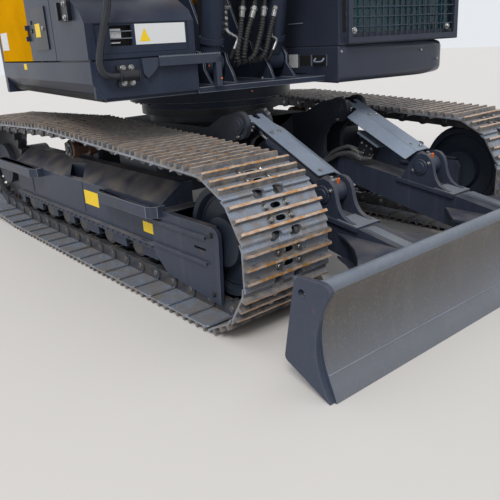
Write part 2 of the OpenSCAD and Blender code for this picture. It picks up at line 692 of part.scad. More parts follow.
module bulkhead() {
    color("#2f3747") upper() {
        box([-60, -side + 64, deck_top + seat_gap], [-30, boom_y - bracket_in - boom_plate - 20, wall_top - 2]);
        box([cab_rear - 50, cab_in + 10, deck_top + seat_gap], [cab_rear - 25, cab_out - 60, wall_top - 2]);
        box([rear_x + seat_gap, -side + 64, deck_top + seat_gap], [rear_x + 25, side - 40, wall_top - 2]);
        box([rear_x + 20, cab_in + 10, 1880], [cab_rear - 40, side - 80, wall_top - 2]);
    }
}
module fuel_tank() {
    color("#333b4b") upper() {
        box([0, -side, skirt_top + 6], [540, box_in - 10, 1850]);
        box([20, -side + 80, deck_top + seat_gap], [520, box_in - 40, skirt_top + 7]);
        for (z = door_hinges) right_hinge(z) hinge_fixed(90);
    }
}
module tool_box() {
    color("#3b4354") upper() difference() {
        union() {
            xz(-side, box_in) polygon([
                [550, skirt_top + 6], [deck_front, skirt_top + 6], [deck_front, 1390], [deck_front - 40, 1440],
                [900, 1510], [550, box_top]]);
            box([560, -side + 14, skirt_top - 2 + seat_gap], [deck_front - 12, box_in - 10, skirt_top + 7]);
        }
        xz(-side + 30, box_in - 30) polygon([
            [580, skirt_top + 30], [deck_front - 30, skirt_top + 30], [deck_front - 30, 1380], [890, 1480],
            [890, 1700], [580, 1700]]);
        box([deck_front - 60, -1090, 1285], [deck_front + 10, -983, 1376]);
        box([deck_front - 5, -1167, 1250], [deck_front + 10, -686, 1386]);
    }
    color("#3b4354") upper() for (y = lid_hinge_ys) lid_hinge(y) hinge_fixed(90);
}
module tool_box_lid() {
    color("#3b4354") upper() {
        xz(-side + 36, box_in - 36) polygon([
            [586, box_roof(586) - 16], [884, box_roof(884) - 16], [884, box_roof(884)], [586, box_roof(586)]]);
        for (y = lid_hinge_ys) lid_hinge(y) hinge_turning(90);
    }
}
module step_plate() {
    color("#333b4b") upper() {
        box([deck_front + 10 + seat_gap, -900, 1175], [deck_front + 130, -525, 1200]);
        box([deck_front + seat_gap, -557, deck_z], [deck_front + 40, -525, 1176]);
    }
}
module engine_block() {
    color("#3a3a3a") upper() box([-850, -450, deck_top + seat_gap], [-310, cab_in - 60, 1780]);
}
module exhaust() {
    color("#2a2a2a") upper() translate([-400, -850, 1780 + seat_gap]) {
        translate([0, 0, hood_top - 1780]) cylinder(r = 50, h = 320);
    }
}
// Round tube through a list of points
module tube(path, r) {
    for (i = [0:len(path) - 2]) {
        d = path[i + 1] - path[i];
        translate(path[i]) rotate([0, acos(d[2] / norm(d)), atan2(d[1], d[0])]) cylinder(r = r, h = norm(d));
        if (i > 0) translate(path[i]) sphere(r = r + 0.2);
    }
}
rail_r = 17;
rail_x = deck_front + 45;
module handrails() {
    color("#20242c") upper() {
        box([deck_front + 10 + seat_gap, -1075, 1110], [deck_front + 34, -995, 1190]);
        tube([[deck_front + 30, -1035, 1150], [rail_x, -1050, 1150], [rail_x + 15, -1177, 1206],
            [rail_x + 10, -1104, 1486], [rail_x, -1090, 1900], [rail_x - 60, -1090, 1990], [420, -1090, 2000],
            [360, -1090, 1960], [360, -1090, 1850 + seat_gap]], rail_r);
    }
}

/* Cab */

cab_out = cab_in + cab_w;
cab_sill = 1225;
// Side view of the cab by the inset of its walls
module cab_side_view(d) {
    polygon([
        [cab_rear + d, cab_sill], [cab_front - d, cab_sill], [cab_front - 10 - d, 1900], [cab_front - 90 - d, cab_top - 260],
        [cab_front - 200 - d, cab_top - 50 - d], [cab_rear + 60 + d, cab_top - 50 - d], [cab_rear + d, cab_top - 160]]);
}
module cab_floor() {
    color("#3a4254") upper() difference() {
        translate([0, 0, 1020]) linear_extrude(cab_sill - 1020 - seat_gap) polygon([
            [cab_rear, cab_in], [cab_front, cab_in], [cab_front, cab_out - 200], [cab_front - 60, cab_out - 60],
            [cab_front - 200, cab_out], [cab_rear, cab_out]]);
        box([cab_rear - 10, cab_in - 10, 1000], [880 + side_gap, cab_out - 40, deck_top + seat_gap]);
    }
}
door_rear = 100;
// Side view of the door and of its opening
module door_view(d) {
    polygon([
        [door_rear + d, cab_sill + 20 + d], [cab_front - 70 - d, cab_sill + 20 + d], [cab_front - 80 - d, 1900],
        [cab_front - 160 - d, cab_top - 260], [cab_front - 180 - d, cab_top - 200 - d], [door_rear + d, cab_top - 200 - d]]);
}
door_hinge_z = [1500, 2350];
module door_hinge(z) {
    translate([door_rear + 4, cab_out + hinge_off, z]) rotate([0, 0, 180]) children();
}
module cab_shell() {
    color("#232a37") upper() {
        difference() {
            xz(cab_in, cab_out) cab_side_view(0);
            xz(cab_in + cab_wall, cab_out - cab_wall) translate([0, -10]) cab_side_view(cab_wall);
            xz(cab_in + cab_wall, cab_out - cab_wall) translate([0, 90]) cab_side_view(cab_wall);
            // Windscreen
            box([cab_front - 250, cab_in + 60, cab_sill + 60], [cab_front + 50, cab_out - 60, cab_top - 120]);
            // Window beside the boom
            xz(cab_in - 20, cab_in + 80) side_window(0);
            // Rear window
            box([cab_rear - 20, cab_in + 120, 1940], [cab_rear + 80, cab_out - 120, cab_top - 260]);
            // Door and the window behind it
            xz(cab_out - 80, cab_out + 20) door_view(0);
            box([cab_rear + 90, cab_out - 80, 1850], [20, cab_out + 20, cab_top - 260]);
        }
        for (z = door_hinge_z) door_hinge(z) hinge_fixed(90);
    }
}
module side_window(d) {
    polygon([
        [cab_rear + 120 + d, 1700 + d], [cab_front - 90 - d, 1700 + d], [cab_front - 100 - d, 1900],
        [cab_front - 180 - d, cab_top - 260 - d], [cab_rear + 120 + d, cab_top - 260 - d]]);
}
module cab_roof() {
    color("#232a37") upper() box([cab_rear + 50, cab_in + 10, cab_top - 50 + seat_gap], [cab_front - 190, cab_out - 10, cab_top]);
}
glass_t = 6;
module cab_glass() {
    color("#5f9a94", 0.4) upper() {
        xz(cab_in + 20, cab_in + 20 + glass_t) side_window(seat_gap);
        xz(cab_in + 60 + seat_gap, cab_out - 60 - seat_gap) polygon([
            [cab_front - 20, cab_sill + 61], [cab_front - 30, 1900], [cab_front - 110, cab_top - 260], [cab_front - 183, cab_top - 121],
            [cab_front - 189, cab_top - 121], [cab_front - 116, cab_top - 260], [cab_front - 36, 1900], [cab_front - 26, cab_sill + 61]]);
        box([cab_rear + 20, cab_in + 120 + seat_gap, 1940 + seat_gap], [cab_rear + 20 + glass_t, cab_out - 120 - seat_gap, cab_top - 260 - seat_gap]);
        box([cab_rear + 90 + seat_gap, cab_out - 26, 1850 + seat_gap], [20 - seat_gap, cab_out - 20, cab_top - 260 - seat_gap]);
    }
}
guard_x = cab_front + 24;
// First upright bar of the guard's grille and the distance between them
grille_y = cab_in + 158;
grille_pitch = 48.5;
module cab_guard() {
    color("#2f3747") upper() {
        difference() {
            box([guard_x, cab_in + 40, 1233], [guard_x + 20, cab_out - 60, 1960]);
            box([guard_x - 5, cab_in + 70, 1263], [guard_x + 25, cab_out - 90, 1930]);
        }
        for (k = [0:13]) box([guard_x + 5, grille_y + k * grille_pitch, 1260], [guard_x + 11, grille_y + 6 + k * grille_pitch, 1933]);
        for (z = [1315:52:1920]) box([guard_x + 8, cab_in + 65, z], [guard_x + 14, cab_out - 85, z + 6]);
        for (y = [cab_in + 44, cab_out - 94]) box([cab_front + seat_gap, y, 1236], [guard_x + 1, y + 30, 1266]);
        for (y = [cab_in + 44, cab_out - 94]) box([cab_front - 6, y, 1900], [guard_x + 1, y + 30, 1930]);
    }
}
module cab_door() {
    color("#232a37") upper() {
        difference() {
            xz(cab_out - cab_wall, cab_out) door_view(8);
            xz(cab_out - cab_wall - 5, cab_out + 5) door_window(0);
        }
        for (z = door_hinge_z) door_hinge(z) hinge_turning(90);
    }
}
module door_window(d) {
    polygon([
        [door_rear + 70 + d, 1520 + d], [cab_front - 140 - d, 1520 + d], [cab_front - 150 - d, 1900],
        [cab_front - 230 - d, cab_top - 270 - d], [door_rear + 70 + d, cab_top - 270 - d]]);
}
module door_glass() {
    color("#5f9a94", 0.4) upper() xz(cab_out - 30, cab_out - 30 + glass_t) door_window(seat_gap);
}
module seat() {
    color("#202020") upper() {
        box([50, cab_in + 250, cab_sill], [400, cab_out - 250, 1460]);
        box([0, cab_in + 230, 1450], [500, cab_out - 230, 1580]);
        box([-60, cab_in + 250, 1500], [60, cab_out - 250, 2200]);
    }
}
module controls() {
    color("#262626") upper() for (y = [cab_in + 90, cab_out - 200]) {
        box([100, y, cab_sill], [560, y + 110, 1650]);
        translate([500, y + 55, 1649]) cylinder(r = 16, h = 170);
    }
}

/* Working equipment */

boom_foot = [boom_foot_x, boom_foot_z];
function along(p, a, l) = p + l * [cos(a), sin(a)];
boom_tip = along(boom_foot, boom_park, boom_l);
arm_dir = boom_park + 180 + arm_park;
arm_tip = along(boom_tip, arm_dir, arm_l);
// Places an equipment piece drawn along +X from a point at an angle
module at_xz(p, a) {
    translate([p[0], 0, p[1]]) rotate([0, -a, 0]) children();
}
boom_cyl_r = 2000;
boom_cyl_a = 15;
boom_cyl_foot = [boom_cyl_x, boom_cyl_z];
boom_cyl_eye = along(boom_foot, boom_park + boom_cyl_a, boom_cyl_r);
boom_cyl_dir = (boom_cyl_eye - boom_cyl_foot) / norm(boom_cyl_eye - boom_cyl_foot);
boom_tip_gap = arm_w / 2 + side_gap;
boom_stub = boom_cyl_y - cyl_half - boom_w / 2 - side_gap;
// Places on the boom, from its foot along its chord: x and height
arm_cyl_foot = [2030, 1075];
module boom() {
    color("#c8921a") upper() at_xz(boom_foot, boom_park) difference() {
        union() {
            xz(boom_y - boom_w / 2, boom_y + boom_w / 2) polygon([
                [-60, -95], [150, -140], [1500, 290], [2300, 330], [boom_l - 450, -83], [boom_l - 410, 140],
                [2500, 820], [1950, 930], [1480, 840], [150, 150], [-60, 95], [-105, 0]]);
            for (s = [-1, 1]) {
                y = boom_y + s * (boom_tip_gap + 14);
                xz(y - 14, y + 14) polygon([
                    [boom_l - 700, -60], [boom_l - 20, -100], [boom_l + 60, -80], [boom_l + 95, 0],
                    [boom_l + 60, 80], [boom_l - 20, 110], [boom_l - 700, 220]]);
                yc = boom_y + s * (76 + 14);
                xz(yc - 14, yc + 14) polygon([
                    [1780, 890], [1960, 1150], [2080, 1160], [2140, 1080], [2180, 890]]);
            }
            bar_y(boom_l, 0, boom_y - boom_tip_gap - 34, boom_y + boom_tip_gap + 34, 40);
            bar_y(arm_cyl_foot[0], arm_cyl_foot[1], boom_y - 118, boom_y + 118, 40);
            for (s = [-1, 1]) {
                y = boom_y + s * boom_w / 2;
                at = along([0, 0], boom_cyl_a, boom_cyl_r);
                bar_y(at[0], at[1], min(y, y + s * boom_stub), max(y, y + s * boom_stub), 90);
            }
        }
        bar_y(0, 0, boom_y - 300, boom_y + 300, 45 + pin_gap);
    }
}
module boom_barrels() {
    color("#3a4254") upper() for (s = [-1, 1]) difference() {
        y = boom_y + s * boom_cyl_y;
        union() {
            rod_xz(boom_cyl_foot + 40 * boom_cyl_dir, boom_cyl_foot + 1218 * boom_cyl_dir, y, boom_barrel_r);
            rod_xz(boom_cyl_foot + 110 * boom_cyl_dir, boom_cyl_foot + 140 * boom_cyl_dir, y, boom_barrel_r + 10);
            bar_y(boom_cyl_x, boom_cyl_z, y - cyl_half, y + cyl_half, 65);
        }
        bar_y(boom_cyl_x, boom_cyl_z, y - 90, y + 90, 40 + pin_gap);
        rod_xz(boom_cyl_foot + 95 * boom_cyl_dir, boom_cyl_foot + 1300 * boom_cyl_dir, y, boom_rod_r + pin_gap);
    }
}
module boom_rods() {
    color("silver") upper() for (s = [-1, 1]) {
        y = boom_y + s * boom_cyl_y;
        rod_xz(boom_cyl_foot + 1003 * boom_cyl_dir, boom_cyl_eye, y, boom_rod_r);
        bar_y(boom_cyl_eye[0], boom_cyl_eye[1], y - cyl_half, y + cyl_half, 66);
    }
}

// Arm: places from its pin along its line: x and height on its outer side
arm_ear = [-560, 160];
bucket_cyl_foot = [330, 400];
rocker_foot = [arm_l - 400, 40];
arm_eye = 62;
module arm() {
    color("#c8921a") upper() at_xz(boom_tip, arm_dir) difference() {
        union() {
            xz(boom_y - arm_w / 2, boom_y + arm_w / 2) polygon([
                [-380, 40], [-330, 250], [100, 290], [700, 250], [arm_l - 60, 75], [arm_l + 50, 55], [arm_l + 75, 0],
                [arm_l + 50, -55], [arm_l - 60, -75], [300, -165], [-60, -130]]);
            for (s = [-1, 1]) {
                y = boom_y + s * (arm_eye + side_gap + 14);
                xz(y - 14, y + 14) polygon([
                    [-300, 60], [-540, 95], [-610, 110], [-630, 170], [-600, 220], [-540, 230], [-300, 240]]);
                bar_y(arm_ear[0], arm_ear[1], boom_y + s * (arm_eye + side_gap + 18) - 18,
                    boom_y + s * (arm_eye + side_gap + 18) + 18, 55);
                xz(y - 14, y + 14) polygon([
                    [180, 240], [260, 440], [330, 470], [400, 440], [520, 240]]);
            }
            bar_y(bucket_cyl_foot[0], bucket_cyl_foot[1], boom_y - 100, boom_y + 100, 32);
            bar_y(rocker_foot[0], rocker_foot[1], boom_y - arm_w / 2 - 34, boom_y + arm_w / 2 + 34, 32);
            bar_y(arm_l, 0, boom_y - 150, boom_y + 150, 68);
            bar_y(arm_l, 0, boom_y - 205, boom_y + 205, 34);
        }
        bar_y(0, 0, boom_y - 300, boom_y + 300, 40 + pin_gap);
    }
}
// A barrel from its foot pin towards its rod's eye, drawn along +X
module barrel(l, r, rod_r, foot_r, pin_r, foot_w) {
    difference() {
        union() {
            translate([foot_r - 15, 0, 0]) rotate([0, 90, 0]) cylinder(r = r, h = l - foot_r + 15);
            bar_y(0, 0, -foot_w / 2, foot_w / 2, foot_r);
        }
        bar_y(0, 0, -foot_w, foot_w, pin_r + pin_gap);
        translate([foot_r + 20, 0, 0]) rotate([0, 90, 0]) cylinder(r = rod_r + pin_gap, h = l);
    }
}
// A rod with its eye, drawn along +X from its inner end
module rod(from, to, rod_r, eye_r, eye_w) {
    translate([from, 0, 0]) rotate([0, 90, 0]) cylinder(r = rod_r, h = to - from);
    bar_y(to, 0, -eye_w / 2, eye_w / 2, eye_r);
}
// Places a cylinder in the frame of the boom or the arm, from foot to eye
module between(a, b) {
    d = b - a;
    translate([a[0], boom_y, a[1]]) rotate([0, -atan2(d[1], d[0]), 0]) children();
}
arm_ear_boom = [boom_l, 0] + norm(arm_ear) * [
    cos(180 + arm_park + atan2(arm_ear[1], arm_ear[0])), sin(180 + arm_park + atan2(arm_ear[1], arm_ear[0]))];
arm_cyl_l = norm(arm_ear_boom - arm_cyl_foot);
module arm_barrel() {
    color("#3a4254") upper() at_xz(boom_foot, boom_park) between(arm_cyl_foot, arm_ear_boom)
        barrel(1640, 66, 42, 68, 40, 2 * 70);
}
module arm_rod() {
    color("silver") upper() at_xz(boom_foot, boom_park) between(arm_cyl_foot, arm_ear_boom)
        rod(1060, arm_cyl_l, 42, 56, 2 * arm_eye);
}

rocker_l = 440;
link_l = 420;
bucket_ear_l = 340;
bucket_ear_a = 115;
bucket_dir = -bucket_park;
bucket_ear_arm = [arm_l, 0] + bucket_ear_l * [cos(bucket_dir + bucket_ear_a), sin(bucket_dir + bucket_ear_a)];
// Joint of rocker, link and bucket cylinder, in the arm's frame
function meet(a, ra, b, rb) = let (d = norm(b - a), u = (b - a) / d,
    x = (ra * ra - rb * rb + d * d) / (2 * d), h = sqrt(ra * ra - x * x)) a + x * u + h * [-u[1], u[0]];
link_joint = meet(rocker_foot, rocker_l, bucket_ear_arm, link_l);
bucket_cyl_l = norm(link_joint - bucket_cyl_foot);
module bucket_barrel() {
    color("#3a4254") upper() at_xz(boom_tip, arm_dir) between(bucket_cyl_foot, link_joint)
        barrel(1330, 58, 36, 56, 32, 2 * 62);
}
module bucket_rod() {
    color("silver") upper() at_xz(boom_tip, arm_dir) between(bucket_cyl_foot, link_joint)
        rod(800, bucket_cyl_l, 36, 52, 2 * 40);
}
module bucket_rocker() {
    a = rocker_foot;
    b = link_joint;
    t = atan2(b[1] - a[1], b[0] - a[0]);
    color("#c8921a") upper() at_xz(boom_tip, arm_dir) for (s = [-1, 1]) difference() {
        y = boom_y + s * (arm_w / 2 + side_gap + 12);
        union() {
            at_xz(a, t) xz(y - 12, y + 12) polygon([
                [-60, -45], [rocker_l + 30, -50], [rocker_l + 55, 0], [rocker_l + 30, 50], [-60, 45], [-80, 0]]);
            bar_y(b[0], b[1], min(y, boom_y + s * 50), max(y, boom_y + s * 50), 30);
        }
        bar_y(a[0], a[1], y - 40, y + 40, 32 + pin_gap);
    }
}
module bucket_link() {
    a = link_joint;
    b = bucket_ear_arm;
    t = atan2(b[1] - a[1], b[0] - a[0]);
    color("#c8921a") upper() at_xz(boom_tip, arm_dir) difference() {
        union() {
            for (s = [-1, 1]) {
                y = boom_y + s * (arm_w / 2 - 21);
                at_xz(a, t) xz(y - 21, y + 21) polygon([
                    [-30, -50], [120, -45], [link_l, -45], [link_l, 45], [120, 45], [-30, 50], [-55, 0]]);
            }
            at_xz(a, t) xz(boom_y - 110, boom_y + 110) polygon([
                [240, -40], [link_l, -45], [link_l, 45], [240, 40]]);
            bar_y(b[0], b[1], boom_y - 150, boom_y + 150, 55);
        }
        bar_y(a[0], a[1], boom_y - 200, boom_y + 200, 30 + pin_gap);
    }
}
bucket_t = 24;
// Distance from the bucket's pin to the rear edge of its mouth
bucket_lip = 115;
module bucket() {
    h = bucket_w / 2;
    tip = bucket_r - 170;
    color("#2b2f36") upper() at_xz(boom_tip, arm_dir) at_xz([arm_l, 0], bucket_dir) difference() {
        union() {
            xz(boom_y - h, boom_y + h) difference() {
                polygon([[40, 95], [bucket_lip, 0], [tip, 0], [tip + 20, 40], [720, 560], [440, 690], [190, 650], [20, 480],
                    [-40, 200]]);
                polygon([[bucket_lip + bucket_t, 40], [bucket_lip + bucket_t, -20], [tip - 60, -20], [tip - 90, 60], [700, 535],
                    [440, 690 - bucket_t], [200, 650 - bucket_t], [20 + bucket_t, 470], [-40 + bucket_t, 220]]);
            }
            for (s = [-1, 1]) {
                xz(boom_y + s * (h - bucket_t / 2) - bucket_t / 2, boom_y + s * (h - bucket_t / 2) + bucket_t / 2)
                    polygon([[40, 95], [bucket_lip, 0], [tip, 0], [tip + 20, 40], [720, 560], [440, 690], [190, 650], [20, 480],
                        [-40, 200]]);
                y = boom_y + s * 175;
                ear = bucket_ear_l * [cos(bucket_ear_a), sin(bucket_ear_a)];
                xz(y - 18, y + 18) polygon([
                    [-75, -20], [-40, -75], [70, -80], [90, 100], [30, 480], ear + [-40, 75], ear + [-80, 0],
                    ear + [-40, -70]]);
            }
            for (k = [0:4]) {
                y = boom_y + (k - 2) * (bucket_w - 90) / 4;
                xz(y - 32, y + 32) polygon([
                    [tip - 70, -22], [bucket_r, 4], [bucket_r, 14], [tip + 30, 62], [tip - 40, 62], [tip - 20, 20], [tip - 70, 0]]);
            }
        }
        bar_y(0, 0, boom_y - 300, boom_y + 300, 34 + pin_gap);
    }
}
module lamps() {
    color("white") upper() {
        box([deck_front - 55, -1096, 1279], [deck_front - 30 - seat_gap, -977, 1376]);
        for (y = [cab_in + 120, cab_out - 200]) box([cab_front - 260, y, cab_top + seat_gap], [cab_front - 200, y + 90, cab_top + 60]);
    }
}
module mirrors() {
    color("#1c1f24") upper() {
        box([rail_x - 15, -1300, 1650], [rail_x + 5, -1130, 1900]);
        bar_y(rail_x + 4, 1750, -1135, -1095.5 - rail_r, 8);
        box([cab_front - 60, cab_out + 60, 1800], [cab_front - 40, cab_out + 230, 2050]);
        translate([cab_front - 50, cab_out + 70, 1850]) rotate([90, 0, 0]) cylinder(r = 8, h = 70 - seat_gap);
    }
}

carbody();
track_frames();
idlers();
sprockets();
travel_motors();
lower_rollers();
carrier_rollers();
track_right();
track_left();
idler_guards();
frame_steps();
swing_bearing();
mouldboard();
blade_arms();
blade_barrels();
blade_covers();
blade_rods();
house_frame();
side_skirt();
counterweight();
engine_hood();
hood_door_right();
hood_door_left();
bulkhead();
fuel_tank();
tool_box();
tool_box_lid();
step_plate();
engine_block();
exhaust();
handrails();
cab_floor();
cab_shell();
cab_roof();
cab_glass();
cab_guard();
cab_door();
door_glass();
seat();
controls();
boom();
boom_barrels();
boom_rods();
arm();
arm_barrel();
arm_rod();
bucket_barrel();
bucket_rod();
bucket_rocker();
bucket_link();
bucket();
lamps();
mirrors();
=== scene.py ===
import bpy
import bmesh
import math
import random
from mathutils import Matrix, Vector


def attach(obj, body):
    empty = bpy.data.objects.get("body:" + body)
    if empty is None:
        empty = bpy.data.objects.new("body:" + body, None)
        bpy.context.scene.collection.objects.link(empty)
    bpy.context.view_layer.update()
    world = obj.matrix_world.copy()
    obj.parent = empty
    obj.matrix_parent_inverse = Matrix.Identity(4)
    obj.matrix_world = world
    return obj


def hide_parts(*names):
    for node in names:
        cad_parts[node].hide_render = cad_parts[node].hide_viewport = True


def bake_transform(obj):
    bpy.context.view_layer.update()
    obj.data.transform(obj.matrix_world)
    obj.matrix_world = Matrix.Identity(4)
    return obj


# Crawler excavator with a dozer blade. Metres, in the part's own frame: the origin is on the ground under
# the swing axis, +X points to the blade, +Y to the machine's left and +Z up.

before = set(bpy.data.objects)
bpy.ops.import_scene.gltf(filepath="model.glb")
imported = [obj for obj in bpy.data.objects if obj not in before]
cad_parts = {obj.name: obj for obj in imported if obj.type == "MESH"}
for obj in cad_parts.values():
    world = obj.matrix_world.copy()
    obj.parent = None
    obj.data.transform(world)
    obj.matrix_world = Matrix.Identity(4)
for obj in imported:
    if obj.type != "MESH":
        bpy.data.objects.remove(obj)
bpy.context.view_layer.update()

# Camera: place, heading from +X, tilt down and roll in degrees, lens and sensor in millimetres
CAMERA_AT = Vector((3.62578, -2.64748, 1.27091))
CAMERA_HEADING = 140.9965
CAMERA_DOWN = 19.2277
CAMERA_ROLL = -3.2238
CAMERA_LENS = 42.95
CAMERA_SENSOR = 36.0


def make_camera():
    heading = math.radians(CAMERA_HEADING)
    down = math.radians(CAMERA_DOWN)
    roll = math.radians(CAMERA_ROLL)
    level = math.cos(down)
    forward = Vector((level * math.cos(heading), level * math.sin(heading), -math.sin(down)))
    level_right = Vector((math.sin(heading), -math.cos(heading), 0.0))
    level_up = level_right.cross(forward)
    right = math.cos(roll) * level_right + math.sin(roll) * level_up
    up = -math.sin(roll) * level_right + math.cos(roll) * level_up
    data = bpy.data.cameras.new("camera")
    data.lens = CAMERA_LENS
    data.sensor_width = CAMERA_SENSOR
    camera = bpy.data.objects.new("camera", data)
    bpy.context.scene.collection.objects.link(camera)
    turn = Matrix((right, up, -forward)).transposed()
    camera.matrix_world = Matrix.Translation(CAMERA_AT) @ turn.to_4x4()
    bpy.context.scene.camera = camera


make_camera()

# Stage: a pale floor under a bright sky and a soft sun; turns and widths in degrees
FLOOR_REACH = 40.0
FLOOR_COLOUR = (0.62, 0.6, 0.58, 1)
FLOOR_ROUGH = 0.9
SKY_COLOUR = (0.93, 0.96, 1.0, 1)
SKY_STRENGTH = 0.85
SUN_COLOUR = (1.0, 0.97, 0.93)
SUN_STRENGTH = 1.7
SUN_WIDTH = 20
SUN_TURN = (38, 18, 20)


def make_stage():
    mesh = bpy.data.meshes.new("floor")
    reach = FLOOR_REACH
    corners = [(-reach, -reach, 0), (reach, -reach, 0), (reach, reach, 0), (-reach, reach, 0)]
    mesh.from_pydata(corners, [], [(0, 1, 2, 3)])
    floor = bpy.data.objects.new("floor", mesh)
    bpy.context.scene.collection.objects.link(floor)
    material = bpy.data.materials.new("floor")
    material.use_nodes = True
    shader = material.node_tree.nodes["Principled BSDF"]
    shader.inputs["Base Color"].default_value = FLOOR_COLOUR
    shader.inputs["Roughness"].default_value = FLOOR_ROUGH
    mesh.materials.append(material)
    world = bpy.data.worlds.new("sky")
    world.use_nodes = True
    background = world.node_tree.nodes["Background"]
    background.inputs["Color"].default_value = SKY_COLOUR
    background.inputs["Strength"].default_value = SKY_STRENGTH
    bpy.context.scene.world = world
    light = bpy.data.lights.new("sun", "SUN")
    light.energy = SUN_STRENGTH
    light.angle = math.radians(SUN_WIDTH)
    light.color = SUN_COLOUR
    sun = bpy.data.objects.new("sun", light)
    sun.rotation_euler = [math.radians(turn) for turn in SUN_TURN]
    bpy.context.scene.collection.objects.link(sun)


make_stage()
bpy.context.scene.view_settings.view_transform = "Standard"

# Main sizes, repeated from the part's source: the tracks' middle, the outer wall of their frames, shoe, lug,
# links and carrier roller
TRACK_Y = 0.995
FRAME_WALL = TRACK_Y + 0.105
SHOE_W = 0.5
SHOE_T = 0.009
LUG_H = 0.026
LINK_H = 0.085
CARRIER_X = -0.11
CARRIER_Z = 0.675
# The blade's arms, and the upper structure in its own frame: parked turn, deck, right side and cab
ARM_Y = 0.417
PARK_TURN = math.radians(8)
DECK_FRONT = 1.09
SIDE = 1.21
CAB_IN = 0.2
CAB_OUT = 1.19
CAB_FRONT = 1.2


# Materials

class Look:
    """A procedural material under construction; textures lie in the object's own metres."""

    def __init__(self, name, rough, metal=0.0):
        self.material = bpy.data.materials.new(name)
        self.material.use_nodes = True
        self.tree = self.material.node_tree
        self.shader = self.tree.nodes["Principled BSDF"]
        self.shader.inputs["Metallic"].default_value = metal
        self.shader.inputs["Roughness"].default_value = rough
        self.place = self.tree.nodes.new("ShaderNodeTexCoord").outputs["Object"]
        self.facing = self.tree.nodes.new("ShaderNodeNewGeometry").outputs["Normal"]

    def add(self, kind, **inputs):
        node = self.tree.nodes.new(kind)
        for name, value in inputs.items():
            self.set(node.inputs[name.replace("_", " ")], value)
        return node

    def set(self, socket, value):
        if isinstance(value, bpy.types.NodeSocket):
            self.tree.links.new(value, socket)
        elif socket.type == "RGBA":
            socket.default_value = (*value[:3], 1.0)
        else:
            socket.default_value = value

    def noise(self, scale, detail, stretch=None):
        place = self.place
        if stretch:
            mapping = self.add("ShaderNodeMapping", Vector=place)
            mapping.inputs["Scale"].default_value = stretch
            place = mapping.outputs["Vector"]
        return self.add("ShaderNodeTexNoise", Vector=place, Scale=scale, Detail=detail).outputs["Fac"]

    def span(self, value, low, high):
        """0 at low and 1 at high."""
        node = self.add("ShaderNodeMapRange", Value=value)
        node.inputs["From Min"].default_value = low
        node.inputs["From Max"].default_value = high
        return node.outputs["Result"]

    def patches(self, scale, detail, low, high, stretch=None):
        """Noise whose values from low to high become patches with soft rims."""
        return self.span(self.noise(scale, detail, stretch), low, high)

    def part(self, vector, axis):
        return self.add("ShaderNodeSeparateXYZ", Vector=vector).outputs[axis]

    def up(self):
        """1 on faces that look up, 0 on walls."""
        return self.span(self.part(self.facing, "Z"), 0.2, 0.9)

    def maths(self, operation, a, b):
        node = self.tree.nodes.new("ShaderNodeMath")
        node.operation = operation
        self.set(node.inputs[0], a)
        self.set(node.inputs[1], b)
        return node.outputs[0]

    def times(self, a, b):
        return self.maths("MULTIPLY", a, b)

    def plus(self, a, b):
        return self.maths("ADD", a, b)

    def mix(self, factor, a, b):
        node = self.tree.nodes.new("ShaderNodeMix")
        node.data_type = "RGBA"
        self.set(node.inputs["Factor"], factor)
        colours = [s for s in node.inputs if s.type == "RGBA"]
        self.set(colours[0], a)
        self.set(colours[1], b)
        return [s for s in node.outputs if s.type == "RGBA"][0]

    def bump(self, height, depth, strength):
        node = self.add("ShaderNodeBump", Height=height, Strength=strength, Distance=depth)
        self.tree.links.new(node.outputs["Normal"], self.shader.inputs["Normal"])

    def done(self, colour, rough=None):
        self.set(self.shader.inputs["Base Color"], colour)
        if rough is not None:
            self.set(self.shader.inputs["Roughness"], rough)
        return self.material


def shade(colour, factor):
    return tuple(min(1.0, c * factor) for c in colour)


RUST = (0.33, 0.13, 0.035)
MUD = (0.20, 0.18, 0.16)


def paint(name, base, dust, dust_colour, rough, rust, streaks, gloss):
    """Clouded paint with dust on what looks up; dust, rust and streaks say how much of each shows."""
    look = Look(name, rough)
    look.shader.inputs["Specular IOR Level"].default_value = gloss
    cloud = look.noise(2.3, 6.0)
    colour = look.mix(look.span(cloud, 0.35, 0.65), shade(base, 0.86), shade(base, 1.12))
    mottle = look.patches(55.0, 5.0, 0.45, 0.75)
    colour = look.mix(look.times(mottle, 0.22), colour, shade(base, 1.55))
    film = look.times(look.times(look.up(), look.patches(7.0, 8.0, 0.30, 0.72)), dust)
    colour = look.mix(film, colour, dust_colour)
    if streaks:
        run = look.patches(1.0, 5.0, 0.52, 0.72, (26.0, 26.0, 1.6))
        colour = look.mix(look.times(run, streaks), colour, dust_colour)
    if rust:
        speck = look.patches(38.0, 3.0, 0.66, 0.72)
        colour = look.mix(look.times(speck, rust), colour, RUST)
    look.bump(look.noise(140.0, 3.0), 0.0012, 0.25)
    return look.done(colour, look.span(look.plus(film, look.times(cloud, 0.4)), -rough, 1.3))


def steel(name, base, worn, rough, metal, scale, low, high):
    """Bare steel with patches of its worn colour; scale, low and high shape the patches."""
    look = Look(name, rough, metal)
    patch = look.patches(scale, 8.0, low, high)
    colour = look.mix(patch, base, worn)
    grain = look.patches(scale * 6.0, 4.0, 0.35, 0.7)
    colour = look.mix(look.times(grain, 0.35), colour, shade(base, 0.55))
    look.bump(look.noise(scale * 5.0, 6.0), 0.002, 0.5)
    return look.done(colour, look.span(patch, -2.0 * rough, 3.0))


def plain(name, base, rough, scale, depth, grain):
    """One colour with a fine grain of the given scale, depth and contrast."""
    look = Look(name, rough)
    fine = look.noise(scale, 4.0)
    look.bump(fine, depth, 0.35)
    return look.done(look.mix(look.span(fine, 0.3, 0.7), shade(base, 1.0 - grain), shade(base, 1.0 + grain)))


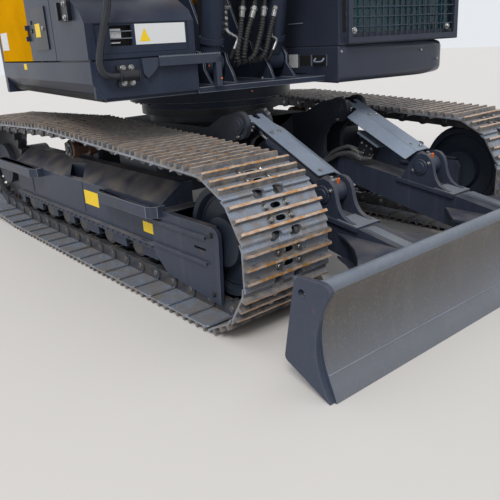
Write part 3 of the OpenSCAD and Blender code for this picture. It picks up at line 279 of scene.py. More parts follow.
def chrome():
    look = Look("chrome", 0.14, 1.0)
    scratch = look.patches(4.0, 6.0, 0.3, 0.7, (1.0, 30.0, 1.0))
    colour = look.mix(scratch, (0.62, 0.63, 0.65), (0.78, 0.79, 0.80))
    return look.done(colour, look.span(scratch, -0.9, 6.0))


def glass():
    look = Look("glass", 0.05)
    look.shader.inputs["Alpha"].default_value = 0.72
    film = look.patches(9.0, 5.0, 0.4, 0.8)
    return look.done(look.mix(film, (0.006, 0.042, 0.056), (0.018, 0.072, 0.086)))


def blade_front():
    """Blade's face: darker brown above as painted shade and a painted ground reflection, lighter blue-grey
    towards the cutting edge as a painted sky reflection; mud specks and runs.
    """
    look = Look("blade_front", 0.4)
    height = look.span(look.part(look.place, "Z"), 0.06, 0.36)
    cloud = look.noise(3.0, 6.0)
    # Painted reflection by height: sky-lit blue-grey low on the face, darker ground reflection and shade
    # above
    painted_reflection = look.span(look.plus(height, look.times(cloud, 0.35)), 0.15, 1.15)
    colour = look.mix(painted_reflection, (0.115, 0.128, 0.155), (0.066, 0.060, 0.056))
    speck = look.patches(90.0, 4.0, 0.56, 0.72)
    colour = look.mix(look.times(speck, 0.45), colour, MUD)
    run = look.patches(1.0, 5.0, 0.52, 0.72, (30.0, 30.0, 1.4))
    colour = look.mix(look.times(run, 0.14), colour, MUD)
    look.bump(look.noise(140.0, 3.0), 0.0012, 0.25)
    return look.done(colour, look.span(cloud, -0.3, 2.2))


BLUE = (0.030, 0.039, 0.064)
DUST = (0.21, 0.185, 0.165)
# Colour, dust, dust's colour, roughness, rust, streaks, gloss
PAINTS = {
    "frame_paint": (BLUE, 0.40, DUST, 0.42, 0.12, 0.08, 0.3),
    "frame_dusty": (BLUE, 1.0, (0.175, 0.150, 0.128), 0.42, 0.20, 0.06, 0.2),
    "blade_paint": ((0.040, 0.050, 0.078), 0.30, DUST, 0.42, 0.12, 0.05, 0.3),
    "house_paint": ((0.026, 0.034, 0.056), 0.10, DUST, 0.30, 0.05, 0.02, 0.1),
    # This light blue-grey includes a painted sheen of the sky on the blade covers
    "cover_paint": ((0.19, 0.23, 0.30), 0.2, (0.30, 0.32, 0.34), 0.34, 0, 0, 0.3),
    "cab_paint": ((0.030, 0.037, 0.058), 0.2, (0.16, 0.17, 0.19), 0.34, 0, 0, 0.3),
    "hood_paint": ((0.60, 0.285, 0.003), 0.04, (0.36, 0.28, 0.17), 0.45, 0, 0, 0.0),
    "black_metal": ((0.018, 0.020, 0.025), 0.35, DUST, 0.5, 0, 0, 0.3),
    "idler_paint": ((0.024, 0.031, 0.046), 0.08, DUST, 0.55, 0, 0, 0.2),
    "rail_black": ((0.013, 0.016, 0.022), 0.10, DUST, 0.28, 0, 0, 0.45),
    "lid_black": ((0.008, 0.010, 0.014), 0.06, DUST, 0.35, 0, 0, 0.25),
    "cast": ((0.030, 0.036, 0.050), 0.3, DUST, 0.55, 0, 0, 0.3),
    # This lighter blue-grey is a painted highlight on rounded edges, the weld, slats and teeth, and wear on
    # the blade arm's pad
    "edge_light": ((0.15, 0.17, 0.205), 0.2, (0.30, 0.29, 0.28), 0.38, 0, 0, 0.3),
    # This lighter blue-grey is a painted highlight of the sky on the blade's top bar
    "top_bar": ((0.13, 0.152, 0.190), 0.25, (0.36, 0.38, 0.40), 0.34, 0, 0, 0.3),
}
# Colour, worn colour, roughness, metal, scale of the patches, their low and high
STEELS = {
    "track_steel": ((0.26, 0.30, 0.37), (0.24, 0.22, 0.21), 0.46, 0.35, 14.0, 0.40, 0.62),
    "chain_steel": ((0.055, 0.060, 0.072), (0.105, 0.085, 0.070), 0.6, 0.2, 18.0, 0.45, 0.70),
    "rusty_steel": ((0.13, 0.065, 0.035), (0.045, 0.036, 0.032), 0.75, 0.2, 30.0, 0.40, 0.62),
    "worn_steel": ((0.30, 0.30, 0.30), (0.14, 0.11, 0.09), 0.4, 0.8, 30.0, 0.40, 0.62),
    "lug_tip": ((0.50, 0.245, 0.080), (0.56, 0.45, 0.37), 0.55, 0.15, 20.0, 0.38, 0.56),
    "lug_flank": ((0.135, 0.135, 0.145), (0.27, 0.235, 0.205), 0.55, 0.25, 24.0, 0.40, 0.65),
    "bright_bolt": ((0.42, 0.43, 0.45), (0.25, 0.24, 0.22), 0.35, 0.8, 60.0, 0.40, 0.62),
}
# Colour, roughness, scale of the grain, its depth and contrast
PLAINS = {
    "seat_fabric": ((0.03, 0.03, 0.033), 0.9, 260.0, 0.002, 0.2),
    "black_plastic": ((0.016, 0.017, 0.019), 0.5, 120.0, 0.0006, 0.2),
    "rubber": ((0.013, 0.013, 0.014), 0.62, 90.0, 0.001, 0.2),
    "lamp_white": ((0.75, 0.77, 0.78), 0.3, 120.0, 0.0006, 0.2),
    "label_white": ((0.66, 0.68, 0.70), 0.45, 400.0, 0.0003, 0.05),
    "label_yellow": ((0.88, 0.58, 0.005), 0.5, 400.0, 0.0006, 0.2),
    # This near black is painted shade in holes, slots, seams and the lamp opening, and the black of the roof
    # lamps' housings
    "dark_inside": ((0.006, 0.006, 0.007), 0.8, 120.0, 0.0006, 0.2),
    "hose_ring": ((0.030, 0.031, 0.034), 0.45, 90.0, 0.0006, 0.2),
    # This grey is a painted sheen on the blade hoses
    "hose_guard": ((0.075, 0.078, 0.085), 0.45, 90.0, 0.0006, 0.2),
    "orange_cap": ((0.62, 0.13, 0.02), 0.45, 90.0, 0.0006, 0.2),
}
MATERIALS = {"chrome": chrome(), "glass": glass(), "blade_front": blade_front()}
for kind, table in ((paint, PAINTS), (steel, STEELS), (plain, PLAINS)):
    MATERIALS.update({name: kind(name, *row) for name, row in table.items()})

# CAD nodes of each finish
FINISH = {
    "cast": ["carbody", "travel_motors", "engine_block"],
    "frame_dusty": ["track_frames"],
    "frame_paint": ["idler_guards", "frame_steps", "blade_arms", "blade_barrels"],
    "blade_paint": ["mouldboard"],
    "house_paint": [
        "house_frame", "side_skirt", "counterweight", "bulkhead", "fuel_tank", "tool_box", "tool_box_lid",
        "step_plate", "boom_barrels", "arm_barrel", "bucket_barrel"],
    "cover_paint": ["blade_covers"],
    "cab_paint": ["cab_floor", "cab_shell", "cab_roof", "cab_door", "cab_guard"],
    "hood_paint": [
        "engine_hood", "hood_door_right", "hood_door_left", "boom", "arm", "bucket_rocker", "bucket_link"],
    "idler_paint": ["idlers"],
    "black_metal": ["swing_bearing", "exhaust", "handrails", "bucket"],
    "track_steel": ["track_right", "track_left"],
    "chain_steel": ["sprockets", "lower_rollers"],
    "rusty_steel": ["carrier_rollers"],
    "chrome": ["blade_rods", "boom_rods", "arm_rod", "bucket_rod"],
    "glass": ["cab_glass", "door_glass"],
    "seat_fabric": ["seat"],
    "black_plastic": ["controls", "mirrors"],
    "lamp_white": ["lamps"],
}
FINISH_OF = {node: finish for finish, nodes in FINISH.items() for node in nodes}
# Each CAD node's material slots take its finish
for node, finish in FINISH_OF.items():
    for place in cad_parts[node].material_slots:
        place.material = MATERIALS[finish]


# Mesh building

class Form:
    """Points and faces under construction; mark names the face's material."""

    def __init__(self):
        self.points = []
        self.faces = []
        self.marks = []

    def add(self, points, faces, mark=0):
        base = len(self.points)
        self.points += [Vector(p) for p in points]
        self.faces += [tuple(base + i for i in face) for face in faces]
        self.marks += [mark] * len(faces)

    def take(self, other, matrix=None):
        """Adds another form, moved by the matrix."""
        base = len(self.points)
        self.points += [matrix @ p for p in other.points] if matrix else other.points
        turned = matrix is not None and matrix.determinant() < 0
        for face in other.faces:
            moved = [base + i for i in face]
            self.faces.append(tuple(reversed(moved)) if turned else tuple(moved))
        self.marks += other.marks

    def prism(self, outline, low, high, mark=0):
        """outline is counter-clockwise seen against the extrusion, as points of low's plane."""
        n = len(outline)
        points = [low(*p) for p in outline] + [high(*p) for p in outline]
        faces = [tuple(reversed(range(n))), tuple(range(n, 2 * n))]
        faces += [(i, (i + 1) % n, n + (i + 1) % n, n + i) for i in range(n)]
        self.add(points, faces, mark)

    def side(self, outline, y0, y1, mark=0):
        """Side view drawn as x and z, from y0 to y1."""
        self.prism(outline, lambda x, z: (x, y1, z), lambda x, z: (x, y0, z), mark)

    def top(self, outline, z0, z1, mark=0):
        """Plan drawn as x and y, from z0 to z1."""
        self.prism(outline, lambda x, y: (x, y, z0), lambda x, y: (x, y, z1), mark)

    def front(self, outline, x0, x1, mark=0):
        """Front view drawn as y and z, from x0 to x1."""
        self.prism(outline, lambda y, z: (x0, y, z), lambda y, z: (x1, y, z), mark)

    def box(self, low, high, mark=0):
        (x0, y0, z0), (x1, y1, z1) = low, high
        self.top([(x0, y0), (x1, y0), (x1, y1), (x0, y1)], z0, z1, mark)

    def lathe(self, profile, at, axis, mark=0, n=32):
        """profile is radius and distance along the axis, closed by its own ends on the axis or left open."""
        along = Vector(axis).normalized()
        turn = along.to_track_quat("Z", "Y").to_matrix()
        points = []
        for i in range(n):
            a = 2 * math.pi * i / n
            points += [Vector(at) + turn @ Vector((r * math.cos(a), r * math.sin(a), h)) for r, h in profile]
        m = len(profile)
        faces = []
        for i in range(n):
            j = (i + 1) % n
            faces += [(i * m + k, j * m + k, j * m + k + 1, i * m + k + 1) for k in range(m - 1)]
        self.add(points, faces, mark)

    def bar(self, a, b, r, mark=0, n=20, bevel=0.002):
        """Round bar from a to b with n sides and rounded ends."""
        length = (Vector(b) - Vector(a)).length
        edge = min(bevel, r * 0.5)
        profile = [(0, 0), (r - edge, 0), (r, edge), (r, length - edge), (r - edge, length), (0, length)]
        self.lathe(profile, a, Vector(b) - Vector(a), mark, n)

    def bolt(self, at, axis, r=0.011, h=0.009, mark=0):
        """Hexagonal head on its washer."""
        along = Vector(axis).normalized()
        at = Vector(at)
        self.bar(at - along * 0.002, at + along * 0.003, r * 1.45, mark, 16, 0.001)
        self.lathe([(0, 0), (r, 0), (r, h * 0.8), (r * 0.82, h), (0, h)], at + along * 0.002, axis, mark, 6)

    def tube(self, path, r, mark=0, n=12, steps=6):
        """Round tube on a smooth curve through the path's points."""
        line = curve(path, steps)
        base = len(self.points)
        normal = None
        for i, p in enumerate(line):
            ahead = line[min(i + 1, len(line) - 1)] - line[max(i - 1, 0)]
            ahead.normalize()
            if normal is None:
                normal = ahead.orthogonal().normalized()
            normal = (normal - ahead * normal.dot(ahead)).normalized()
            other = ahead.cross(normal)
            for k in range(n):
                a = 2 * math.pi * k / n
                self.points.append(p + r * (math.cos(a) * normal + math.sin(a) * other))
        last = len(line) - 1
        for i in range(last):
            here, there = base + i * n, base + (i + 1) * n
            for k in range(n):
                j = (k + 1) % n
                self.faces.append((here + k, here + j, there + j, there + k))
        self.faces.append(tuple(base + k for k in reversed(range(n))))
        self.faces.append(tuple(base + last * n + k for k in range(n)))
        self.marks += [mark] * (last * n + 2)


def curve(path, steps):
    """Points of a smooth curve through the path."""
    path = [Vector(p) for p in path]
    if len(path) == 2:
        return path
    ends = [2 * path[0] - path[1]] + path + [2 * path[-1] - path[-2]]
    line = []
    for a, b, c, d in zip(ends, ends[1:], ends[2:], ends[3:]):
        for k in range(steps):
            t = k / steps
            line.append(0.5 * (2 * b + (c - a) * t + (2 * a - 5 * b + 4 * c - d) * t * t
                               + (3 * b - a - 3 * c + d) * t * t * t))
    return line + [path[-1]]


def rounded(corners, n=5):
    """Outline through corners given as x, y and radius."""
    out = []
    count = len(corners)
    for i, corner in enumerate(corners):
        p = Vector(corner[:2])
        r = corner[2] if len(corner) > 2 else 0
        if not r:
            out.append(tuple(p))
            continue
        before = (Vector(corners[i - 1][:2]) - p).normalized()
        after = (Vector(corners[(i + 1) % count][:2]) - p).normalized()
        half = before.angle(after) / 2
        reach = r / math.tan(half)
        middle = p + (before + after).normalized() * (r / math.sin(half))
        a = p + before * reach - middle
        b = p + after * reach - middle
        total = a.angle_signed(b)
        for k in range(n + 1):
            t = -total * k / n
            out.append((middle.x + a.x * math.cos(t) - a.y * math.sin(t),
                        middle.y + a.x * math.sin(t) + a.y * math.cos(t)))
    return out


def rectangle(a0, a1, b0, b1, r=0):
    """Outline from a0 to a1 and b0 to b1 with corners of radius r."""
    return rounded([(a0, b0, r), (a1, b0, r), (a1, b1, r), (a0, b1, r)])


UPPER = Matrix.Rotation(-PARK_TURN, 4, "Z")
MIRROR = Matrix.Diagonal((1, -1, 1, 1))
# Edges above this angle stay sharp and are rounded
SHARP = math.radians(32)
# Points nearer than this become one
WELD = 0.00002


def both(form):
    """The form and its mirror image on the other side."""
    pair = Form()
    pair.take(form)
    pair.take(form, MIRROR)
    return pair


def make(name, form, looks, body, nodes=(), bevel=0.0, upper=False, flat=False):
    """One piece from a form; looks are the material names by mark, upper says that it is drawn unturned."""
    mesh = bpy.data.meshes.new(name)
    points = [UPPER @ p for p in form.points] if upper else form.points
    mesh.from_pydata([tuple(p) for p in points], [], form.faces)
    for look in looks:
        mesh.materials.append(MATERIALS[look])
    mesh.polygons.foreach_set("material_index", form.marks)
    mesh.validate()
    return dress(name, mesh, body, nodes, bevel, flat)


def dress(name, mesh, body, nodes, bevel=0.0, flat=False):
    """The piece of a finished mesh: its shading, its rounding, its body and the nodes it replaces."""
    work = bmesh.new()
    work.from_mesh(mesh)
    bmesh.ops.remove_doubles(work, verts=work.verts, dist=WELD)
    bmesh.ops.recalc_face_normals(work, faces=work.faces)
    for face in work.faces:
        face.smooth = not flat
    for edge in work.edges:
        if len(edge.link_faces) == 2:
            edge.smooth = edge.calc_face_angle(0.0) < SHARP
    work.to_mesh(mesh)
    work.free()
    piece = bpy.data.objects.new(name, mesh)
    bpy.context.scene.collection.objects.link(piece)
    if bevel:
        edge = soften(piece, bevel, 2)
        edge.limit_method = "ANGLE"
        edge.angle_limit = SHARP
    if body:
        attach(piece, body)
    if nodes:
        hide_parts(*nodes)
    return piece


def soften(piece, width, segments):
    """Rounds the piece's edges; the caller says which of them."""
    edge = piece.modifiers.new("edge", "BEVEL")
    edge.width = width
    edge.segments = segments
    edge.harden_normals = True
    edge.use_clamp_overlap = True
    return edge


# Tracks: the shoes' outer surface wraps these circles, counter-clockwise in side view: x, z, radius
BELT_H = SHOE_T + LINK_H
WHEEL_X = 1.48
WHEEL_R = 0.364
LOWER_R = 0.075 + BELT_H
WRAPS = [
    (-WHEEL_X, 0.425, WHEEL_R),
    (-0.965, LUG_H + LOWER_R, LOWER_R),
    (1.01, LUG_H + LOWER_R, LOWER_R),
    (WHEEL_X, 0.39, WHEEL_R),
    (CARRIER_X, CARRIER_Z, 0.06 + BELT_H),
]
PIN_DEPTH = 0.051
SHOE_PITCH = 0.1725
# The idler's arc among the line's pieces, and the angle on it of the first shoe
IDLER_RUN = 6
FIRST_SHOE = math.radians(31.6)


def pin_line():
    """The chain's pin line as pieces: arcs and straight runs with their lengths."""
    circles = [(x, z, r - PIN_DEPTH) for x, z, r in WRAPS]
    normals = []
    for a, b in zip(circles, circles[1:] + circles[:1]):
        dx, dz = b[0] - a[0], b[1] - a[1]
        normals.append(math.atan2(dz, dx) - math.acos((a[2] - b[2]) / math.hypot(dx, dz)))
    runs = []
    for i, (x, z, r) in enumerate(circles):
        start = normals[i - 1]
        end = normals[i]
        while end < start - 0.0001:
            end += 2 * math.pi
        runs.append(("arc", (x, z, r), start, end, r * (end - start)))
        next_x, next_z, next_r = circles[(i + 1) % len(circles)]
        a = Vector((x + r * math.cos(end), z + r * math.sin(end)))
        b = Vector((next_x + next_r * math.cos(end), next_z + next_r * math.sin(end)))
        runs.append(("run", a, b, end, (b - a).length))
    return runs


def on_line(runs, s):
    """Place and outward normal's angle at the distance s along the line."""
    total = sum(run[-1] for run in runs)
    s %= total
    for run in runs:
        if s <= run[-1]:
            break
        s -= run[-1]
    if run[0] == "arc":
        (x, z, r), start = run[1], run[2]
        a = start + s / r
        return Vector((x + r * math.cos(a), z + r * math.sin(a))), a
    return run[1] + (run[2] - run[1]) * (s / run[-1]), run[3]


# Shoe: the lugs' places along the belt, half a lug's foot and tip, its wear and lean, and its stations across
LUG_AT = (-0.060, 0.0, 0.060)
LUG_FOOT = 0.012
LUG_TIP = 0.0062
LUG_WORN = 0.0005
LUG_WEAR = 0.0022
LUG_LEAN = 0.0009
STATIONS = 26
# End of the overlapping lip, and the notches over the links
LIP_END = 0.105
NOTCH_Y = 0.057
NOTCH_R = 0.031
NOTCH_DEPTH = 0.026
NOTCH_GAP = 0.0002
# Half sizes of the rounded hole in each valley, and its sides
HOLE_Y = 0.0275
HOLE_S = 0.0125
HOLE_SIDES = 24
# Bolts: places and the head's radii and heights
BOLT_Y = 0.060
BOLT_S = 0.030
BOLT_HEAD = [(0.0165, 0), (0.0165, 0.003), (0.0135, 0.006), (0.0135, 0.013), (0.010, 0.0165), (0, 0.0165)]
SHOE_LOOKS = ["track_steel", "lug_tip", "lug_flank", "worn_steel", "dark_inside"]


def notched(half, end, depth):
    """Stops of a lip with one rounded notch over each row of links."""
    stops = [(-half, None)]
    for middle in (-NOTCH_Y, NOTCH_Y):
        stops.append((middle - NOTCH_R - NOTCH_GAP, None))
        for k in range(9):
            a = math.pi * k / 8
            stops.append((middle - NOTCH_R * math.cos(a), end + depth * (0.12 + 0.88 * math.sin(a) ** 0.5)))
        stops.append((middle + NOTCH_R + NOTCH_GAP, None))
    return stops + [(half, None)]


def shoe(rng):
    """One shoe on the plane of its chord: s along the belt, y across, n outwards from the plate's face."""
    form = Form()
    half = SHOE_W / 2
    ys = [-half + SHOE_W * k / STATIONS for k in range(STATIONS + 1)]
    for at in LUG_AT:
        height = [LUG_H - LUG_WORN - rng.random() * LUG_WEAR for _ in ys]
        lean = [rng.uniform(-LUG_LEAN, LUG_LEAN) for _ in ys]
        points = []
        for y, h, d in zip(ys, height, lean):
            points += [(at - LUG_FOOT, y, 0), (at - LUG_TIP + d, y, h)]
            points += [(at + LUG_TIP + d, y, h), (at + LUG_FOOT, y, 0)]
        for k in range(3):
            faces = [(4 * i + k, 4 * i + 4 + k, 4 * i + 5 + k, 4 * i + 1 + k) for i in range(STATIONS)]
            form.add(points, faces, 1 if k == 1 else 2)
        form.add(points[:4], [(0, 1, 2, 3)], 2)
        form.add(points[-4:], [(3, 2, 1, 0)], 2)
    for before, after in zip(LUG_AT, LUG_AT[1:]):
        for n in (0.0, -SHOE_T):
            holed(form, before + LUG_FOOT, after - LUG_FOOT, n)
    # Underlapping lip in front of the first lug
    first = LUG_AT[0] - LUG_FOOT
    rows = [(first, 0.0), (first - 0.010, -0.004), (first - 0.026, -0.011), (first - 0.034, -0.014)]
    lip(form, rows, notched(half, rows[-1][0], NOTCH_DEPTH))
    # Overlapping lip behind the last lug
    last = LUG_AT[-1] + LUG_FOOT
    rows = [(last, 0.0), (last + 0.008, 0.0006), (last + 0.018, 0.004), (last + 0.026, 0.0042)]
    rows.append((LIP_END, 0.001))
    lip(form, rows, notched(half, LIP_END, -NOTCH_DEPTH))
    for at in LUG_AT:
        s0, s1 = at - LUG_FOOT, at + LUG_FOOT
        under = [(s0, -half, -SHOE_T), (s1, -half, -SHOE_T), (s1, half, -SHOE_T), (s0, half, -SHOE_T)]
        form.add(under, [(3, 2, 1, 0)], 0)
    for y in (-half, half):
        form.add([(first, y, 0), (last, y, 0), (last, y, -SHOE_T), (first, y, -SHOE_T)], [(0, 1, 2, 3)], 0)
    for s in (-BOLT_S, BOLT_S):
        for y in (-BOLT_Y, BOLT_Y):
            form.lathe(BOLT_HEAD, (s, y, 0.0), (0, 0, 1), 3, 10)
    return form


def holed(form, s0, s1, n):
    """Flat strip across the shoe at the height n with one rounded hole in its middle."""
    count = HOLE_SIDES
    half = SHOE_W / 2
    middle = (s0 + s1) / 2
    reach = HOLE_Y * 1.6
    ring = []
    border = []
    for k in range(count):
        a = 2 * math.pi * k / count
        c, d = math.cos(a), math.sin(a)
        flat = (abs(c) ** 2.8 + abs(d) ** 2.8) ** (-1 / 2.8)
        ring.append((middle + HOLE_S * flat * d, HOLE_Y * flat * c, n))
        edge = 1 / max(abs(c), abs(d))
        border.append((middle + (s1 - s0) / 2 * edge * d, reach * edge * c, n))
    faces = [(k, count + k, count + (k + 1) % count, (k + 1) % count) for k in range(count)]
    form.add(ring + border, faces, 0)
    for a, b in ((-half, -reach), (reach, half)):
        form.add([(s0, a, n), (s1, a, n), (s1, b, n), (s0, b, n)], [(0, 1, 2, 3)], 0)
    # The hole's wall is near black: painted shade in the hole
    if n == 0.0:
        wall = ring + [(s, y, -SHOE_T) for s, y, _ in ring]
        form.add(wall, [(k, (k + 1) % count, count + (k + 1) % count, count + k) for k in range(count)], 4)


def lip(form, rows, stops):
    """Curved edge strip with its thickness; a stop gives y and, where the strip ends early there, its end."""
    m = len(rows)
    start, end = rows[0][0], rows[-1][0]
    points = []
    for y, stop in stops:
        scale = 1.0 if stop is None else (stop - start) / (end - start)
        points += [(start + (s - start) * scale, y, n) for s, n in rows]
        points += [(start + (s - start) * scale, y, n - SHOE_T) for s, n in rows]
    faces = []
    for i in range(len(stops) - 1):
        a, b = 2 * m * i, 2 * m * (i + 1)
        faces += [(a + k, b + k, b + k + 1, a + k + 1) for k in range(m - 1)]
        faces += [(a + m + k + 1, b + m + k + 1, b + m + k, a + m + k) for k in range(m - 1)]
        faces.append((a + m - 1, b + m - 1, b + 2 * m - 1, a + 2 * m - 1))
    for a in (0, 2 * m * (len(stops) - 1)):
        faces += [(a + k, a + k + 1, a + m + k + 1, a + m + k) for k in range(m - 1)]
    form.add(points, faces, 0)


# Link: radius of its eyes, thickness, inner faces at its two ends and of its body, and the body's side view
LINK_R = 0.041
LINK_T = 0.021
LINK_INNER = 0.058
LINK_OUTER = 0.080
LINK_BODY = (0.064, 0.094)
LINK_SIDE = [
    (-0.075, -0.083), (0.075, -0.083), (0.075, -0.052), (0.060, -0.009), (-0.060, -0.009), (-0.075, -0.052)]


def link(pitch):
    """The two links of one pitch, their pin and bushing, on the same plane as the shoe."""
    form = Form()
    half = pitch / 2
    turns = [t * math.pi / 8 for t in range(16)]
    for side in (-1, 1):
        for s, inner in ((-half, LINK_INNER), (half, LINK_OUTER)):
            eye = [(s + LINK_R * math.cos(a), -PIN_DEPTH + LINK_R * math.sin(a)) for a in turns]
            form.side(eye, *sorted((side * inner, side * (inner + LINK_T))), 0)
        form.side(LINK_SIDE, *sorted(side * y for y in LINK_BODY), 0)
    form.bar((-half, -0.062, -PIN_DEPTH), (-half, 0.062, -PIN_DEPTH), 0.027, 0, 14)
    form.bar((half, -0.104, -PIN_DEPTH), (half, 0.104, -PIN_DEPTH), 0.017, 1, 12)
    return form


def make_track(name, side, seed):
    rng = random.Random(seed)
    runs = pin_line()
    total = sum(run[-1] for run in runs)
    count = round(total / SHOE_PITCH)
    pitch = total / count
    (_, _, radius), from_angle = runs[IDLER_RUN][1:3]
    start = sum(run[-1] for run in runs[:IDLER_RUN]) + radius * (FIRST_SHOE - from_angle)
    shoes = Form()
    chain = Form()
    links = link(pitch)
    for k in range(count):
        at, angle = on_line(runs, start + k * pitch)
        out = Vector((math.cos(angle), 0, math.sin(angle)))
        ahead = Vector((-math.sin(angle), 0, math.cos(angle)))
        across = out.cross(ahead)
        turn = Matrix((-ahead, across, out)).transposed().to_4x4()
        base = Matrix.Translation(Vector((at.x, side * TRACK_Y, at.y)) + out * PIN_DEPTH)
        wobble = Matrix.Translation((0, rng.uniform(-0.001, 0.001), 0))
        shoes.take(shoe(rng), base @ turn @ wobble)
        chain.take(links, base @ turn)
    make("shoes_" + name, shoes, SHOE_LOOKS, "undercarriage", ["track_" + name], flat=True)
    make("chain_" + name, chain, ["chain_steel", "worn_steel"], "undercarriage")


make_track("right", -1, 4)
make_track("left", 1, 9)


# Painted bodies: the CAD shapes again, with rounded edges that catch the light; some of these roundings carry
# a painted highlight

# Share of the width that an edge gets where wide tells it apart
NARROW = 1 / 6


def edged(node, body, width, least, edge=None, wide=None):
    """A copy of a CAD node whose longer sharp edges are rounded; edge names the look of the rounding, a
    painted highlight.

    wide, where given, tells from an edge's middle whether it gets the whole width.
    """
    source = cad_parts[node]
    mesh = source.data.copy()
    mesh.transform(source.matrix_world)
    look = FINISH_OF[node]
    mesh.materials.clear()
    mesh.materials.append(MATERIALS[look])
    if edge:
        mesh.materials.append(MATERIALS[edge])
    work = bmesh.new()
    work.from_mesh(mesh)
    for face in work.faces:
        face.material_index = 0
    bmesh.ops.remove_doubles(work, verts=work.verts, dist=WELD)
    bmesh.ops.dissolve_limit(work, angle_limit=math.radians(0.6), verts=work.verts, edges=work.edges)
    weight = work.edges.layers.float.new("bevel_weight_edge")
    for line in work.edges:
        if len(line.link_faces) != 2 or line.calc_length() <= least:
            continue
        if line.calc_face_angle(0.0) > SHARP:
            middle = (line.verts[0].co + line.verts[1].co) / 2
            line[weight] = 1.0 if wide is None or wide(UPPER.inverted() @ middle) else NARROW
    work.to_mesh(mesh)
    work.free()
    piece = dress(node + "_body", mesh, body, [node])
    soft = soften(piece, width, 2 if wide is None else 5)
    soft.limit_method = "WEIGHT"
    if edge:
        soft.material = 1
    return piece


# By body: CAD node, width of the rounding, shortest edge that gets it, and its look, the painted highlight
# where given
EDGED = {
    "undercarriage": [
        ("carbody", 0.004, 0.02, None), ("track_frames", 0.003, 0.02, "edge_light"),
        ("idler_guards", 0.003, 0.01, "edge_light"), ("frame_steps", 0.002, 0.01, "edge_light")],
    "blade": [("mouldboard", 0.003, 0.01, "edge_light"), ("blade_arms", 0.003, 0.01, "edge_light")],
    "house": [
        ("house_frame", 0.003, 0.02, "edge_light"), ("side_skirt", 0.004, 0.03, "edge_light"),
        ("counterweight", 0.012, 0.06, None), ("fuel_tank", 0.006, 0.06, None),
        ("tool_box", 0.010, 0.06, None), ("cab_shell", 0.008, 0.05, None), ("cab_roof", 0.012, 0.05, None)],
    "hood": [("engine_hood", 0.014, 0.06, None)],
    "right_door": [("hood_door_right", 0.005, 0.1, None)],
    "left_door": [("hood_door_left", 0.005, 0.1, None)],
    "lid": [("tool_box_lid", 0.003, 0.1, None)],
    "door": [("cab_door", 0.006, 0.1, None)],
    "boom": [("boom", 0.006, 0.03, None)],
    "arm": [("arm", 0.006, 0.03, None)],
    "bucket": [("bucket", 0.004, 0.02, "edge_light")],
}
for body, entries in EDGED.items():
    for node, width, least, edge in entries:
        edged(node, body, width, least, edge)
# The cab's foot is widely rounded at its front left corner, which lies beyond this x and y
FOOT_CORNER = 0.95
edged("cab_floor", "house", 0.07, 0.02, None, lambda at: min(at.x, at.y) > FOOT_CORNER)


# Blade's face: curved skin, a bar along the top in lighter paint as a painted highlight, and the weld over
# the cutting edge with a painted highlight
BLADE_X = 2.350
BLADE_H = 0.470
BLADE_HALF = 1.270
BLADE_IN = BLADE_HALF - 0.0245
# Section of the skin: distance back from the blade's front, height
FACE = [
    (0, 0.001), (0.014, 0.040), (0.034, 0.085), (0.052, 0.130), (0.064, 0.180), (0.070, 0.230),
    (0.070, 0.280), (0.064, 0.330), (0.052, 0.375), (0.038, 0.412)]
FACE_TOP = 0.436
TOP_BAR = (BLADE_X - 0.062, BLADE_H - 0.028)
TOP_BAR_R = 0.0284
WELD_AT = (BLADE_X - 0.0405, 0.100)
WELD_R = 0.0045


def blade_face():
    form = Form()
    line = [(p.x, p.z) for p in curve([(BLADE_X - back, 0, z) for back, z in FACE], 6)]
    line.append((BLADE_X - FACE[-1][0], FACE_TOP))
    outline = [(x + 0.0014, z) for x, z in line] + [(x - 0.002, z) for x, z in reversed(line)]
    form.side(outline, -BLADE_IN, BLADE_IN, 0)
    for (x, z), r, mark, n, bevel in ((TOP_BAR, TOP_BAR_R, 1, 64, 0.001), (WELD_AT, WELD_R, 2, 10, 0.002)):
        form.bar((x, -BLADE_IN, z), (x, BLADE_IN, z), r, mark, n, bevel)
    return form


make("blade_face", blade_face(), ["blade_front", "top_bar", "edge_light"], "blade")


# Blade: covers, pins, hydraulic blocks and hoses, drawn for the left arm and mirrored
FOOT = Vector((1.58, ARM_Y, 0.52))
EYE = Vector((0.95, ARM_Y, 0.825))
RAM = (EYE - FOOT).normalized()
OVER = Vector((RAM.z, 0, -RAM.x))
# Cover: height over the cylinder, thickness, half its flat, its ends and fork along the cylinder, its flange
COVER_N = 0.060
COVER_T = 0.005
NECK = 0.059
COVER_START = 0.078
COVER_END = 0.700
FORK_START = 0.652
FORK_HALF = 0.021
FLANGE = 0.095
FLANGE_END = 0.588
BEND = math.radians(26)


def on_ram(s, t, n):
    """A place on the blade cylinder: along it from its foot, across to the left, and outwards over it."""
    return FOOT + RAM * s + OVER * n + Vector((0, t, 0))


def on_flange(s, w, n):
    """A place on the cover's flange: along the cylinder, away from the bend, and outwards."""
    across = -NECK - w * math.cos(BEND) - n * math.sin(BEND)
    return on_ram(s, across, COVER_N - w * math.sin(BEND) + n * math.cos(BEND))


